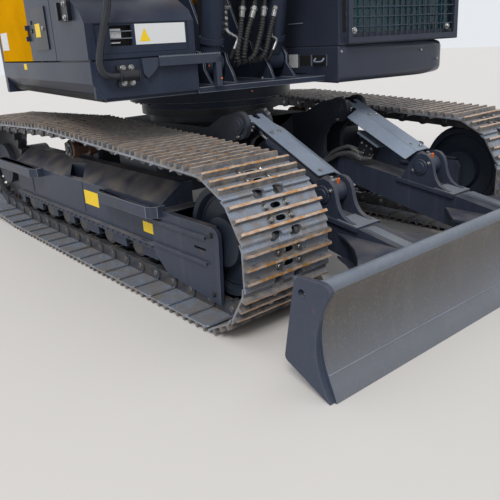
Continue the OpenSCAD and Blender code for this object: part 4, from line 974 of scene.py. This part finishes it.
def covers():
    form = Form()
    flat = rounded([
        (COVER_START, -NECK), (COVER_START, NECK, 0.008), (COVER_END, NECK, 0.010),
        (COVER_END, FORK_HALF, 0.004), (FORK_START, FORK_HALF, 0.020), (FORK_START, -FORK_HALF, 0.020),
        (COVER_END, -FORK_HALF, 0.004), (COVER_END, -NECK, 0.010)])
    form.prism(flat, lambda s, t: on_ram(s, t, COVER_N - COVER_T), lambda s, t: on_ram(s, t, COVER_N))
    wing = rounded([
        (COVER_START, 0.0), (FLANGE_END, 0.0), (FLANGE_END - 0.008, FLANGE, 0.014),
        (COVER_START, FLANGE, 0.010)])
    form.prism(wing, lambda s, w: on_flange(s, w, 0.0), lambda s, w: on_flange(s, w, -COVER_T))
    for s, t in ((0.505, -0.030), (0.500, 0.030), (0.112, 0.018)):
        form.bolt(on_ram(s, t, COVER_N), OVER, 0.0085, 0.007, 1)
    # A near-black disc: painted shade of a hole in the sheet
    form.lathe([(0, 0.0004), (0.008, 0.0004)], on_ram(0.150, -0.030, COVER_N), OVER, 2, 16)
    return both(form)


# The sheets' light blue-grey includes a painted sheen
make("blade_cover_sheets", covers(), ["cover_paint", "bright_bolt", "dark_inside"], "blade_barrel",
     ["blade_covers"], 0.0012)


def cap(form, at, side, r):
    """End of a crosswise pin with its collar."""
    out = Vector((0, side, 0))
    form.bar(at - out * 0.004, at + out * 0.007, r * 1.45, 0, 32, 0.003)
    form.bar(at + out * 0.004, at + out * 0.015, r, 0, 28, 0.003)


# Fittings over the barrel's eye: both ends from the pin's x and the arm's y, radius, mark, sides
EYE_FITTINGS = [
    ((-0.006, -0.034, 0.574), (-0.006, 0.030, 0.574), 0.013, 1, 12),
    ((-0.010, 0.004, 0.570), (-0.010, 0.004, 0.600), 0.012, 1, 6),
    ((0.026, -0.006, 0.566), (0.032, -0.006, 0.594), 0.008, 2, 10),
]
# Side views of the worn pad under the ears and of the ridge in front of it; their lighter look is wear on the
# pad and a painted highlight on the ridge
WORN_PAD = [(1.68, 0.4075), (1.812, 0.3885), (1.812, 0.3905), (1.68, 0.4095)]
RIDGE = [(1.815, 0.378), (2.250, 0.298), (2.250, 0.312), (1.850, 0.388)]


def blade_pins():
    form = Form()
    for side in (-1, 1):
        cap(form, Vector((FOOT.x, ARM_Y + side * 0.080, FOOT.z)), side, 0.032)
        for dx, dz in ((0.052, 0.026), (-0.052, -0.026)):
            at = (FOOT.x + dx, ARM_Y + side * 0.076, FOOT.z + dz)
            form.bolt(at, (0, side, 0), 0.009, 0.010, 1)
    for a, b, r, mark, n in EYE_FITTINGS:
        start, end = [(FOOT.x + x, ARM_Y + y, z) for x, y, z in (a, b)]
        form.bar(start, end, r, mark, n)
    form.side(WORN_PAD, ARM_Y - 0.086, ARM_Y + 0.086, 3)
    form.side(RIDGE, ARM_Y - 0.004, ARM_Y + 0.056, 3)
    return both(form)


make("blade_pin_caps", blade_pins(), ["frame_paint", "bright_bolt", "orange_cap", "edge_light"], "blade",
     (), 0.002)


def bracket_pins():
    form = Form()
    for side in (-1, 1):
        at = EYE + Vector((0, side * 0.097, 0))
        cap(form, at, side, 0.034)
        form.bolt(at + Vector((0, 0.004 * side, -0.062)), (0, side, 0), 0.007, 0.012, 1)
    for x, z in ((0.980, 0.893), (1.008, 0.873)):
        form.bolt((x, ARM_Y - 0.082, z), (0.3, -0.3, 0.9), 0.009, 0.012, 1)
    return both(form)


make("bracket_pin_caps", bracket_pins(), ["cast", "bright_bolt"], "undercarriage")

# Port block: both faces across, its plugs as x and z, and its two ports as x and z of both ends
PORT_OUT = ARM_Y - 0.087
PORT_IN = ARM_Y - 0.022
PLUGS = [
    (1.133, 0.664), (1.162, 0.660), (1.199, 0.644), (1.143, 0.626), (1.233, 0.627), (1.180, 0.609),
    (1.217, 0.592)]
PORTS = [((1.160, 0.592), (1.152, 0.556)), ((1.206, 0.570), (1.200, 0.525))]


def port_blocks():
    form = Form()
    # The block and its mounting plate: from and to along the cylinder, outwards, outer face, mark
    for s0, s1, n0, n1, y, mark in ((0.340, 0.455, -0.165, -0.052, PORT_OUT, 0),
                                    (0.300, 0.480, -0.046, -0.036, PORT_OUT - 0.030, 1)):
        corners = [on_ram(s, 0, n) for s, n in ((s1, n1), (s1, n0), (s0, n0), (s0, n1))]
        form.side([(p.x, p.z) for p in corners], y, PORT_IN, mark)
    for x, z in PLUGS:
        form.bolt((x, PORT_OUT, z), (0, -1, 0), 0.0055, 0.006, 2)
    for (x0, z0), (x1, z1) in PORTS:
        a = Vector((x0, PORT_OUT + 0.02, z0))
        b = Vector((x1, PORT_OUT + 0.01, z1))
        form.bar(a, b, 0.014, 2, 6)
        form.bar(a, (a + b) / 2, 0.018, 2, 12)
    return both(form)


make("port_blocks", port_blocks(), ["black_metal", "cover_paint", "bright_bolt"], "blade_barrel",
     (), 0.003)

# Blade hoses from the carbody to the ports, and their crimped ends: x, y from HOSE_Y, z
HOSE_Y = ARM_Y - 0.080
BLADE_HOSES = [
    [(0.46, -0.087, 0.50), (0.62, -0.047, 0.430), (0.819, -0.006, 0.485), (0.895, -0.004, 0.542),
     (1.021, 0, 0.588), (1.095, 0, 0.565), (1.150, 0, 0.556)],
    [(0.46, -0.087, 0.46), (0.64, -0.057, 0.405), (0.850, -0.010, 0.485), (0.938, -0.010, 0.529),
     (1.054, -0.012, 0.551), (1.140, -0.012, 0.528), (1.200, -0.004, 0.528)],
]
CRIMPS = [
    [(1.060, 0, 0.580), (1.120, 0, 0.556)],
    [(1.100, -0.012, 0.542), (1.150, -0.012, 0.524)],
]


def blade_hoses():
    form = Form()
    for path in BLADE_HOSES:
        form.tube([(x, HOSE_Y + y, z) for x, y, z in path], 0.014, 0)
    for ends in CRIMPS:
        a, b = [(x, HOSE_Y + y, z) for x, y, z in ends]
        form.bar(a, b, 0.0165, 1, 12)
    return both(form)


# The hoses' grey stands in for a painted sheen
hoses = make("blade_hoses", blade_hoses(), ["hose_guard", "bright_bolt"], None)
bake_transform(hoses)


# Undercarriage trim, drawn on the left and mirrored

# Steps: their ends along the frame, top, the toothed bar's faces off the wall, and one tooth
STEPS = ((-1.330, -0.570), (0.410, 1.043))
STEP_TOP = 0.502
TOOTHED_Y = (FRAME_WALL + 0.020, FRAME_WALL + 0.026)
TOOTH_PITCH = 0.022
TOOTH_W = 0.017
TOOTH_FOOT = STEP_TOP - 0.006
TOOTH_TIP = STEP_TOP + 0.007
# Sill bolts: first place, pitch, number and height
SILL_BOLTS = (-1.10, 0.0645, 32, 0.248)
SEAMS_X = (-0.82, 0.055)
# Stickers: from and to along the frame and upwards
STICKERS = ((0.07, 0.26, 0.35, 0.44), (0.79, 0.915, 0.31, 0.37))
GUARD_BOLTS = ((0.975, 0.44), (1.46, 0.43), (1.45, 0.13))


def step_teeth(form, x0, x1):
    low = (x0 + 0.026, TOOTHED_Y[0], STEP_TOP - 0.024)
    form.box(low, (x1 - 0.026, TOOTHED_Y[1], TOOTH_FOOT), 1)
    for k in range(int((x1 - x0 - 0.06) / TOOTH_PITCH)):
        x = x0 + 0.030 + TOOTH_PITCH * k
        tooth = [(x, TOOTH_FOOT), (x + TOOTH_W, TOOTH_FOOT), (x + TOOTH_W / 2, TOOTH_TIP)]
        form.side(tooth, *TOOTHED_Y, 1)


def roller_cap(form):
    """End cap of the carrier roller with its four bolts."""
    at = Vector((CARRIER_X, TRACK_Y + 0.084, CARRIER_Z))
    form.bar(at - Vector((0, 0.004, 0)), at + Vector((0, 0.010, 0)), 0.050, 0, 32, 0.004)
    form.bar(at, at + Vector((0, 0.016, 0)), 0.024, 0, 24, 0.003)
    for k in range(4):
        a = math.radians(45 + 90 * k)
        off = Vector((0.037 * math.cos(a), 0.010, 0.037 * math.sin(a)))
        form.bolt(at + off, (0, 1, 0), 0.005, 0.005, 3)


def frame_trim():
    form = Form()
    wall = FRAME_WALL
    for x0, x1 in STEPS:
        step_teeth(form, x0, x1)
    first, pitch, count, z = SILL_BOLTS
    for k in range(count):
        form.bolt((first + k * pitch, wall + 0.022, z), (0, 1, 0), 0.0045, 0.004, 0)
    for x in SEAMS_X:
        form.bar((x, wall, 0.292), (x, wall, 0.486), 0.004, 1, 8)
    for x0, x1, z0, z1 in STICKERS:
        form.box((x0, wall, z0), (x1, wall + 0.0012, z1), 2)
    for x, z in GUARD_BOLTS:
        form.bolt((x, wall + 0.0223, z), (0, 1, 0), 0.011, 0.009, 0)
    roller_cap(form)
    return both(form)


make("frame_trim", frame_trim(), ["black_metal", "frame_paint", "label_yellow", "bright_bolt"],
     "undercarriage")

# Guard plate on the inner side of each idler: outer face, side view with its radii, ribs' heights
GUARD_FACE = TRACK_Y - 0.1055
GUARD = [
    (1.045, 0.215), (1.060, 0.130), (1.500, 0.085, 0.010), (1.514, 0.420, 0.020), (1.492, 0.462, 0.030),
    (1.045, 0.470)]
GUARD_RIBS = (0.272, 0.402)


def inner_guards():
    form = Form()
    y = GUARD_FACE
    form.side(rounded(GUARD), y - 0.022, y, 0)
    for z in GUARD_RIBS:
        form.box((1.060, y - 0.036, z), (1.420, y - 0.020, z + 0.016), 0)
    # Slot, a near-black plate as painted shade, and flange
    form.side(rectangle(1.310, 1.410, 0.335, 0.352, 0.008), y - 0.0232, y - 0.0216, 1)
    form.box((1.090, y - 0.022, 0.4715), (1.480, y + 0.016, 0.4775), 0)
    return both(form)


make("inner_guards", inner_guards(), ["frame_paint", "dark_inside"], "undercarriage",
     bevel=0.003)

RING_BOLTS = 36


def ring_bolts(r, z, up):
    """Bolts of the swing ring on the radius r, their heads up or down."""
    form = Form()
    for k in range(RING_BOLTS):
        a = 2 * math.pi * (k + 0.3) / RING_BOLTS
        form.bolt((r * math.cos(a), r * math.sin(a), z), (0, 0, up), 0.010, 0.009)
    return form


make("ring_bolts_upper", ring_bolts(0.552, 0.918, -1), ["black_metal"], "house", upper=True)
make("ring_bolts_lower", ring_bolts(0.482, 0.8685, 1), ["black_metal"], "undercarriage")


# Upper structure's front: tool box, lamps, skirt, rail and step, in the upper structure's own frame

# Tool box: its front panels as front views, the opening's sides and its slats, and the blank sign; the slats
# are lighter as a painted highlight
BOX_FACE = DECK_FRONT - 0.005
BOX_PANELS = [
    rectangle(-1.160, -0.692, 1.252, 1.283),
    rounded([(-0.981, 1.2832), (-0.692, 1.2832), (-0.692, 1.381, 0.012), (-0.981, 1.381)]),
    rounded([(-1.160, 1.2832), (-1.092, 1.2832), (-1.092, 1.381), (-1.160, 1.381, 0.018)]),
]
BOX_SLATS = (1.350, 1.318)
SIGN = ((-0.966, 1.286), (-0.700, 1.380))
SIGN_CORNER = [(-0.946, 1.300), (-0.890, 1.300), (-0.918, 1.362)]


def tool_front():
    form = Form()
    x = BOX_FACE
    for panel in BOX_PANELS:
        form.front(panel, x, x + 0.003, 0)
    for z in BOX_SLATS:
        form.box((x - 0.014, -1.092, z - 0.002), (x + 0.002, -0.981, z + 0.002), 1)
    low, high = SIGN
    form.box((x + 0.003, *low), (x + 0.0042, *high), 2)
    form.front(SIGN_CORNER, x + 0.0042, x + 0.0048, 3)
    return form


make("tool_box_front", tool_front(), ["house_paint", "edge_light", "label_white", "label_yellow"], "house",
     bevel=0.001, upper=True)

# Lamp in the tool box: its cells along y; the two lamps on the cab's roof start at these y
LAMP_CELLS = [-1.076 + 0.018 * k for k in range(3)]
ROOF_LAMPS = (0.320, 0.990)


def all_lamps():
    form = Form()
    # Near-black box in the tool box's opening: painted shade behind the lamp
    form.box((1.0352, -1.095, 1.280), (1.052, -0.978, 1.3755), 0)
    form.front(rectangle(-1.086, -1.030, 1.316, 1.362, 0.006), 1.050, 1.068, 1)
    for y in LAMP_CELLS:
        form.bar((1.066, y, 1.339), (1.0695, y, 1.339), 0.0075, 2, 16, 0.002)
    form.box((1.050, -1.082, 1.296), (1.062, -1.034, 1.302), 1)
    # The roof lamps' housings take the same near black as their own colour
    for y in ROOF_LAMPS:
        form.box((0.9402, y, 2.8605), (0.998, y + 0.09, 2.9195), 0)
        form.box((0.996, y + 0.006, 2.866), (0.9998, y + 0.084, 2.914), 2)
    return form


make("lamp_units", all_lamps(), ["dark_inside", "lamp_white", "label_white"], "house",
     ["lamps"], 0.002, upper=True)

# Right side's plates: from and to along x, from and to upwards, depth, radius
LID_PLATE = (0.145, 0.443, 1.288, 1.512, 0.007, 0.006)
LATCH_PLATE = (0.745, 0.925, 1.412, 1.505, 0.020, 0.010)
LID_HINGES = (1.441, 1.396)
LATCH_BOLTS = ((0.886, 1.490), (0.880, 1.428))


def side_plate(form, x0, x1, z0, z1, depth, r):
    form.side(rectangle(x0, x1, z0, z1, r), -SIDE - depth, -SIDE, 0)


def side_details():
    """Lid, lock, latch plate and blank stickers on the right side."""
    form = Form()
    y = -SIDE
    side_plate(form, *LID_PLATE)
    for z in LID_HINGES:
        form.bar((0.132, y - 0.007, z - 0.012), (0.132, y - 0.007, z + 0.012), 0.006, 0, 12)
        form.bolt((0.100, y, z), (0, -1, 0), 0.006, 0.005, 3)
    # Lock, and the lid's sticker
    form.bar((0.381, y - 0.004, 1.402), (0.381, y - 0.014, 1.402), 0.013, 3, 20)
    form.box((0.206, y - 0.0082, 1.358), (0.312, y - 0.007, 1.430), 2)
    # Latch
    side_plate(form, *LATCH_PLATE)
    form.box((0.760, y - 0.032, 1.418), (0.800, y - 0.018, 1.500), 0)
    for x, z in LATCH_BOLTS:
        form.bolt((x, y - 0.020, z), (0, -1, 0), 0.011, 0.009, 3)
    # Sticker on the skirt
    form.box((-0.272, y - 0.0012, 1.176), (-0.196, y, 1.212), 2)
    return form


make("side_details", side_details(), ["lid_black", "black_metal", "label_yellow", "bright_bolt"], "house",
     bevel=0.0015, upper=True)


def hood_sign():
    form = Form()
    form.box((-0.860, -SIDE - 0.0012, 1.302), (-0.645, -SIDE, 1.418))
    return form


make("hood_sign", hood_sign(), ["label_white"], "right_door", upper=True)

# Ribs on the skirt's lower slope: number, first place, pitch, width and how far they stand out
RIBS = 108
RIB_START = -0.86
RIB_PITCH = 0.018
RIB_W = 0.009
RIB_OUT = Vector((0, -0.83, -0.555)) * 0.005


def skirt_ribs():
    form = Form()
    low = Vector((0, -SIDE + 0.058, 1.0335))
    high = Vector((0, -SIDE + 0.034, 1.0695))
    wide = Vector((RIB_W, 0, 0))
    for k in range(RIBS):
        at = Vector((RIB_START + RIB_PITCH * k, 0, 0))
        points = [at + low, at + high, at + high + wide, at + low + wide]
        form.add(points + [p + RIB_OUT for p in points],
                 [(4, 5, 6, 7), (0, 1, 5, 4), (1, 2, 6, 5), (2, 3, 7, 6), (3, 0, 4, 7), (3, 2, 1, 0)], 0)
    return form


make("skirt_ribs", skirt_ribs(), ["black_metal"], "house", upper=True)

RAIL_R = 0.017
RAIL = [
    (1.118, -1.035, 1.150), (1.135, -1.065, 1.149), (1.143, -1.125, 1.150), (1.149, -1.163, 1.166),
    (1.151, -1.179, 1.205), (1.149, -1.171, 1.262), (1.147, -1.138, 1.374), (1.145, -1.104, 1.486),
    (1.140, -1.096, 1.700), (1.135, -1.090, 1.880), (1.128, -1.090, 1.945), (1.105, -1.090, 1.978),
    (1.065, -1.090, 1.990), (0.750, -1.090, 1.995), (0.430, -1.090, 2.000), (0.385, -1.090, 1.990),
    (0.362, -1.090, 1.955), (0.360, -1.090, 1.910), (0.360, -1.090, 1.8505)]
# Where trim stands on the deck's front plate
ON_DECK = DECK_FRONT + 0.0105


def rail():
    form = Form()
    form.tube(RAIL, RAIL_R, 0, 24, 6)
    form.front(rectangle(-1.090, -1.005, 1.098, 1.198, 0.008), ON_DECK, DECK_FRONT + 0.034, 0)
    return form


make("handrail_tube", rail(), ["rail_black"], "house", ["handrails"], upper=True)

# Clamp around the rail's foot: from and to across, radius and rounding of its sleeve and two collars
CLAMP_Z = 1.150
CLAMP_FACE = DECK_FRONT + 0.0345
CLAMP = [(-1.078, -0.990, 0.026, 0.004), (-1.086, -1.076, 0.030, 0.003), (-0.992, -0.984, 0.029, 0.003)]


def rail_clamp():
    form = Form()
    x = CLAMP_FACE + 0.008
    for y0, y1, r, bevel in CLAMP:
        form.bar((x, y0, CLAMP_Z), (x, y1, CLAMP_Z), r, 0, 32, bevel)
    for y in (-1.060, -1.018):
        for z in (CLAMP_Z + 0.033, CLAMP_Z - 0.033):
            form.bolt((CLAMP_FACE - 0.002, y, z), (1, 0, 0), 0.0105, 0.009, 1)
    return form


make("rail_clamp", rail_clamp(), ["rail_black", "bright_bolt"], "house", upper=True)

# Step on the deck's front: its ends across, front, top, teeth and the plate at its outer end; teeth and top
# ribs are lighter as a painted highlight
TREAD_Y0 = -0.872
TREAD_Y1 = -0.525
TREAD_FRONT = DECK_FRONT + 0.040
TREAD_TOP = 1.222
TREAD_TEETH = 30
TREAD_END = [
    (-0.960, 1.222), (-0.955, 1.150), (-0.935, 1.128), (-0.905, 1.150), (-0.872, 1.186), (-0.872, 1.222)]


def step():
    form = Form()
    x0, x1, top = ON_DECK, TREAD_FRONT, TREAD_TOP
    form.box((x1 - 0.005, TREAD_Y0, 1.180), (x1, TREAD_Y1, top), 0)
    form.box((x0, TREAD_Y0, 1.205), (x1 - 0.005, TREAD_Y1, 1.210), 0)
    pitch = (TREAD_Y1 - TREAD_Y0) / TREAD_TEETH
    for k in range(TREAD_TEETH):
        y = TREAD_Y0 + k * pitch
        tip = top + 0.008
        tooth = [(y, top), (y + pitch * 0.85, top), (y + pitch * 0.6, tip), (y + pitch * 0.3, tip)]
        form.front(tooth, x1 - 0.005, x1, 1)
        form.box((x0, y + 0.003, 1.210), (x1 - 0.006, y + 0.008, 1.218), 1)
    # Post at the inner end
    form.box((x0 - 0.009, -0.557, 1.060), (x1, TREAD_Y1, 1.206), 0)
    form.front(TREAD_END, x0, x0 + 0.022, 0)
    return form


make("step_tread", step(), ["frame_paint", "edge_light"], "house", ["step_plate"], 0.001,
     upper=True)


# Cab: foot's labels and handle, guard bolts, and seams drawn as painted shade

# Plates on the cab's inner side: from and to along x and upwards, mark
CAB_PLATES = (
    (0.718, 0.811, 1.101, 1.180, 1), (0.826, 0.945, 1.116, 1.173, 0), (0.957, 1.094, 1.115, 1.173, 0))
# Edges of the frames around the two dark ones, lighter as a painted highlight
CAB_FRAMES = ((0.823, 0.826), (0.945, 0.948), (0.954, 0.957), (1.094, 1.097))
# Handle: x, how far out, z
HANDLE = ((0.992, 0.001, 1.156), (0.994, 0.016, 1.140), (1.031, 0.020, 1.136), (1.068, 0.016, 1.140),
          (1.070, 0.001, 1.156))
FOOT_BOLTS = ((0.863, 1.167), (1.010, 1.108), (0.222, 1.190))


def cab_details():
    form = Form()
    y = CAB_IN
    for x0, x1, z0, z1, mark in CAB_PLATES:
        form.box((x0, y - 0.0015, z0), (x1, y, z1), mark)
    for x0, x1 in CAB_FRAMES:
        form.box((x0, y - 0.003, 1.112), (x1, y, 1.176), 3)
    form.tube([(x, y - out, z) for x, out, z in HANDLE], 0.005, 4)
    form.box((0.724, y - 0.004, 1.356), (0.868, y, 1.362), 4)
    # Seam at the guard's inner edge, a near-black strip as painted shade
    form.front(rectangle(0.232, 0.252, 1.296, 1.890), CAB_FRONT - 0.001, CAB_FRONT + 0.002, 0)
    for bolt_y, z in FOOT_BOLTS:
        form.bolt((CAB_FRONT, bolt_y, z), (1, 0, 0), 0.006, 0.005, 2)
    for bolt_y in (0.279, 1.036):
        for z in (1.299, 1.918):
            form.bolt((CAB_FRONT + 0.044, bolt_y, z), (1, 0, 0), 0.0125, 0.012, 2)
    # Dark seam over the cab's foot, a strip of painted shade
    form.box((-0.50, y + 0.004, 1.2235), (CAB_FRONT - 0.004, CAB_OUT - 0.004, 1.2262), 0)
    return form


make("cab_details", cab_details(), ["dark_inside", "label_white", "bright_bolt", "edge_light", "cover_paint"],
     "house", bevel=0.0006, upper=True)


# Hoses and valves at the boom's foot

# Hoses from their top: y and z of the places that they pass
HOSE_X = 0.95
HOSES = [
    [(-0.264, 1.500), (-0.268, 1.457), (-0.278, 1.399), (-0.293, 1.321), (-0.321, 1.204), (-0.300, 1.165),
     (-0.262, 1.150)],
    [(-0.188, 1.500), (-0.190, 1.455), (-0.215, 1.393), (-0.247, 1.319), (-0.274, 1.212), (-0.262, 1.172),
     (-0.225, 1.160)],
    [(-0.123, 1.500), (-0.125, 1.454), (-0.136, 1.401), (-0.158, 1.316), (-0.206, 1.203), (-0.235, 1.170),
     (-0.270, 1.160)],
    [(-0.047, 1.500), (-0.049, 1.453), (-0.067, 1.397), (-0.096, 1.313), (-0.129, 1.215), (-0.150, 1.175),
     (-0.190, 1.155)],
]
# How far back from HOSE_X each of those places is
HOSE_BACK = (0, 0, 0, 0, 0, 0.03, 0.11)
# Guard rings: their top, pitch along the hose and width
RING_TOP = 1.388
RING_PITCH = 0.0125
RING_W = 0.0062
# Elbows at both sides: places back from HOSE_X, y and z; the last two are hose and the others pipe
ELBOWS = [
    [(0, -0.350, 1.318), (0, -0.346, 1.312), (0, -0.315, 1.290), (0, -0.339, 1.237), (0.02, -0.352, 1.19)],
    [(0, -0.083, 1.330), (0, -0.083, 1.296), (0, -0.052, 1.273), (0, -0.079, 1.218), (0.02, -0.100, 1.17)],
]


def boom_hose(form, points):
    """One hose with its guard rings, and its crimp, nut and pipe at the top."""
    form.tube(points, 0.0135, 0)
    line = curve(points, 14)
    travelled = 0.0
    for a, b in zip(line, line[1:]):
        travelled += (b - a).length
        if a.z < RING_TOP and travelled > RING_PITCH:
            travelled = 0.0
            form.bar(a, a + (b - a).normalized() * RING_W, 0.0172, 3, 14, 0.0015)
    pipe, top, end = [Vector(p) for p in points[:3]]
    form.bar(top, end, 0.0165, 1, 18)
    form.bar(top + (end - top) * 0.12, top + (end - top) * 0.34, 0.0205, 1, 6)
    form.bar(pipe, top, 0.012, 1, 12)


def boom_hoses():
    form = Form()
    x = HOSE_X
    for path in HOSES:
        boom_hose(form, [(x - back, y, z) for back, (y, z) in zip(HOSE_BACK, path)])
    for path in ELBOWS:
        points = [(x - back, y, z) for back, y, z in path]
        form.tube(points[:4], 0.0085, 1)
        form.tube(points[3:], 0.011, 0)
    # Block that carries the pipes, and its side plate
    form.box((x - 0.035, -0.400, 1.500), (x + 0.020, -0.015, 1.545), 2)
    form.box((0.660, -0.400, 1.250), (x - 0.030, -0.388, 1.545), 2)
    return form


make("boom_hoses", boom_hoses(), ["rubber", "bright_bolt", "black_metal", "hose_ring"], "house",
     upper=True)

VALVE_X = 0.925


def valves():
    form = Form()
    x = VALVE_X
    form.box((x - 0.05, -0.388, 1.320), (x, -0.350, 1.475), 1)
    form.bar((x, -0.372, 1.470), (x, -0.372, 1.505), 0.013, 0, 6)
    form.bar((x, -0.390, 1.455), (x, -0.335, 1.455), 0.015, 0, 6)
    for k in range(4):
        y, z = -0.380 + 0.006 * (k % 2), 1.430 - 0.030 * k
        form.bar((x - 0.004, y, z), (x + 0.022, -0.372, z - 0.004), 0.011, 0, 6)
    form.tube([(x + 0.01, -0.375, 1.345), (x + 0.02, -0.362, 1.322), (x + 0.02, -0.340, 1.312)], 0.010, 0)
    return form


make("valve_block", valves(), ["bright_bolt", "black_metal"], "house", bevel=0.0015,
     upper=True)

# Deck: bolts as x and y, and orange plugs as x, y and z
DECK_BOLTS = ((0.379, -0.018), (0.424, 0.055), (0.873, -0.108))
DECK_PLUGS = (
    (DECK_FRONT, -0.578, 1.164), (TREAD_FRONT + 0.0005, -0.529, 1.099), (0.98, -0.253, 1.004),
    (0.905, -0.153, 1.167))


def deck_trim():
    form = Form()
    for x, y in DECK_BOLTS:
        form.bolt((x, y, 1.0605), (0, 0, 1), 0.009, 0.008, 0)
    for x, y, z in DECK_PLUGS:
        form.bar((x - 0.001, y, z), (x + 0.0015, y, z), 0.0055, 1, 10, 0.0005)
    return form


make("deck_trim", deck_trim(), ["bright_bolt", "orange_cap"], "house", upper=True)
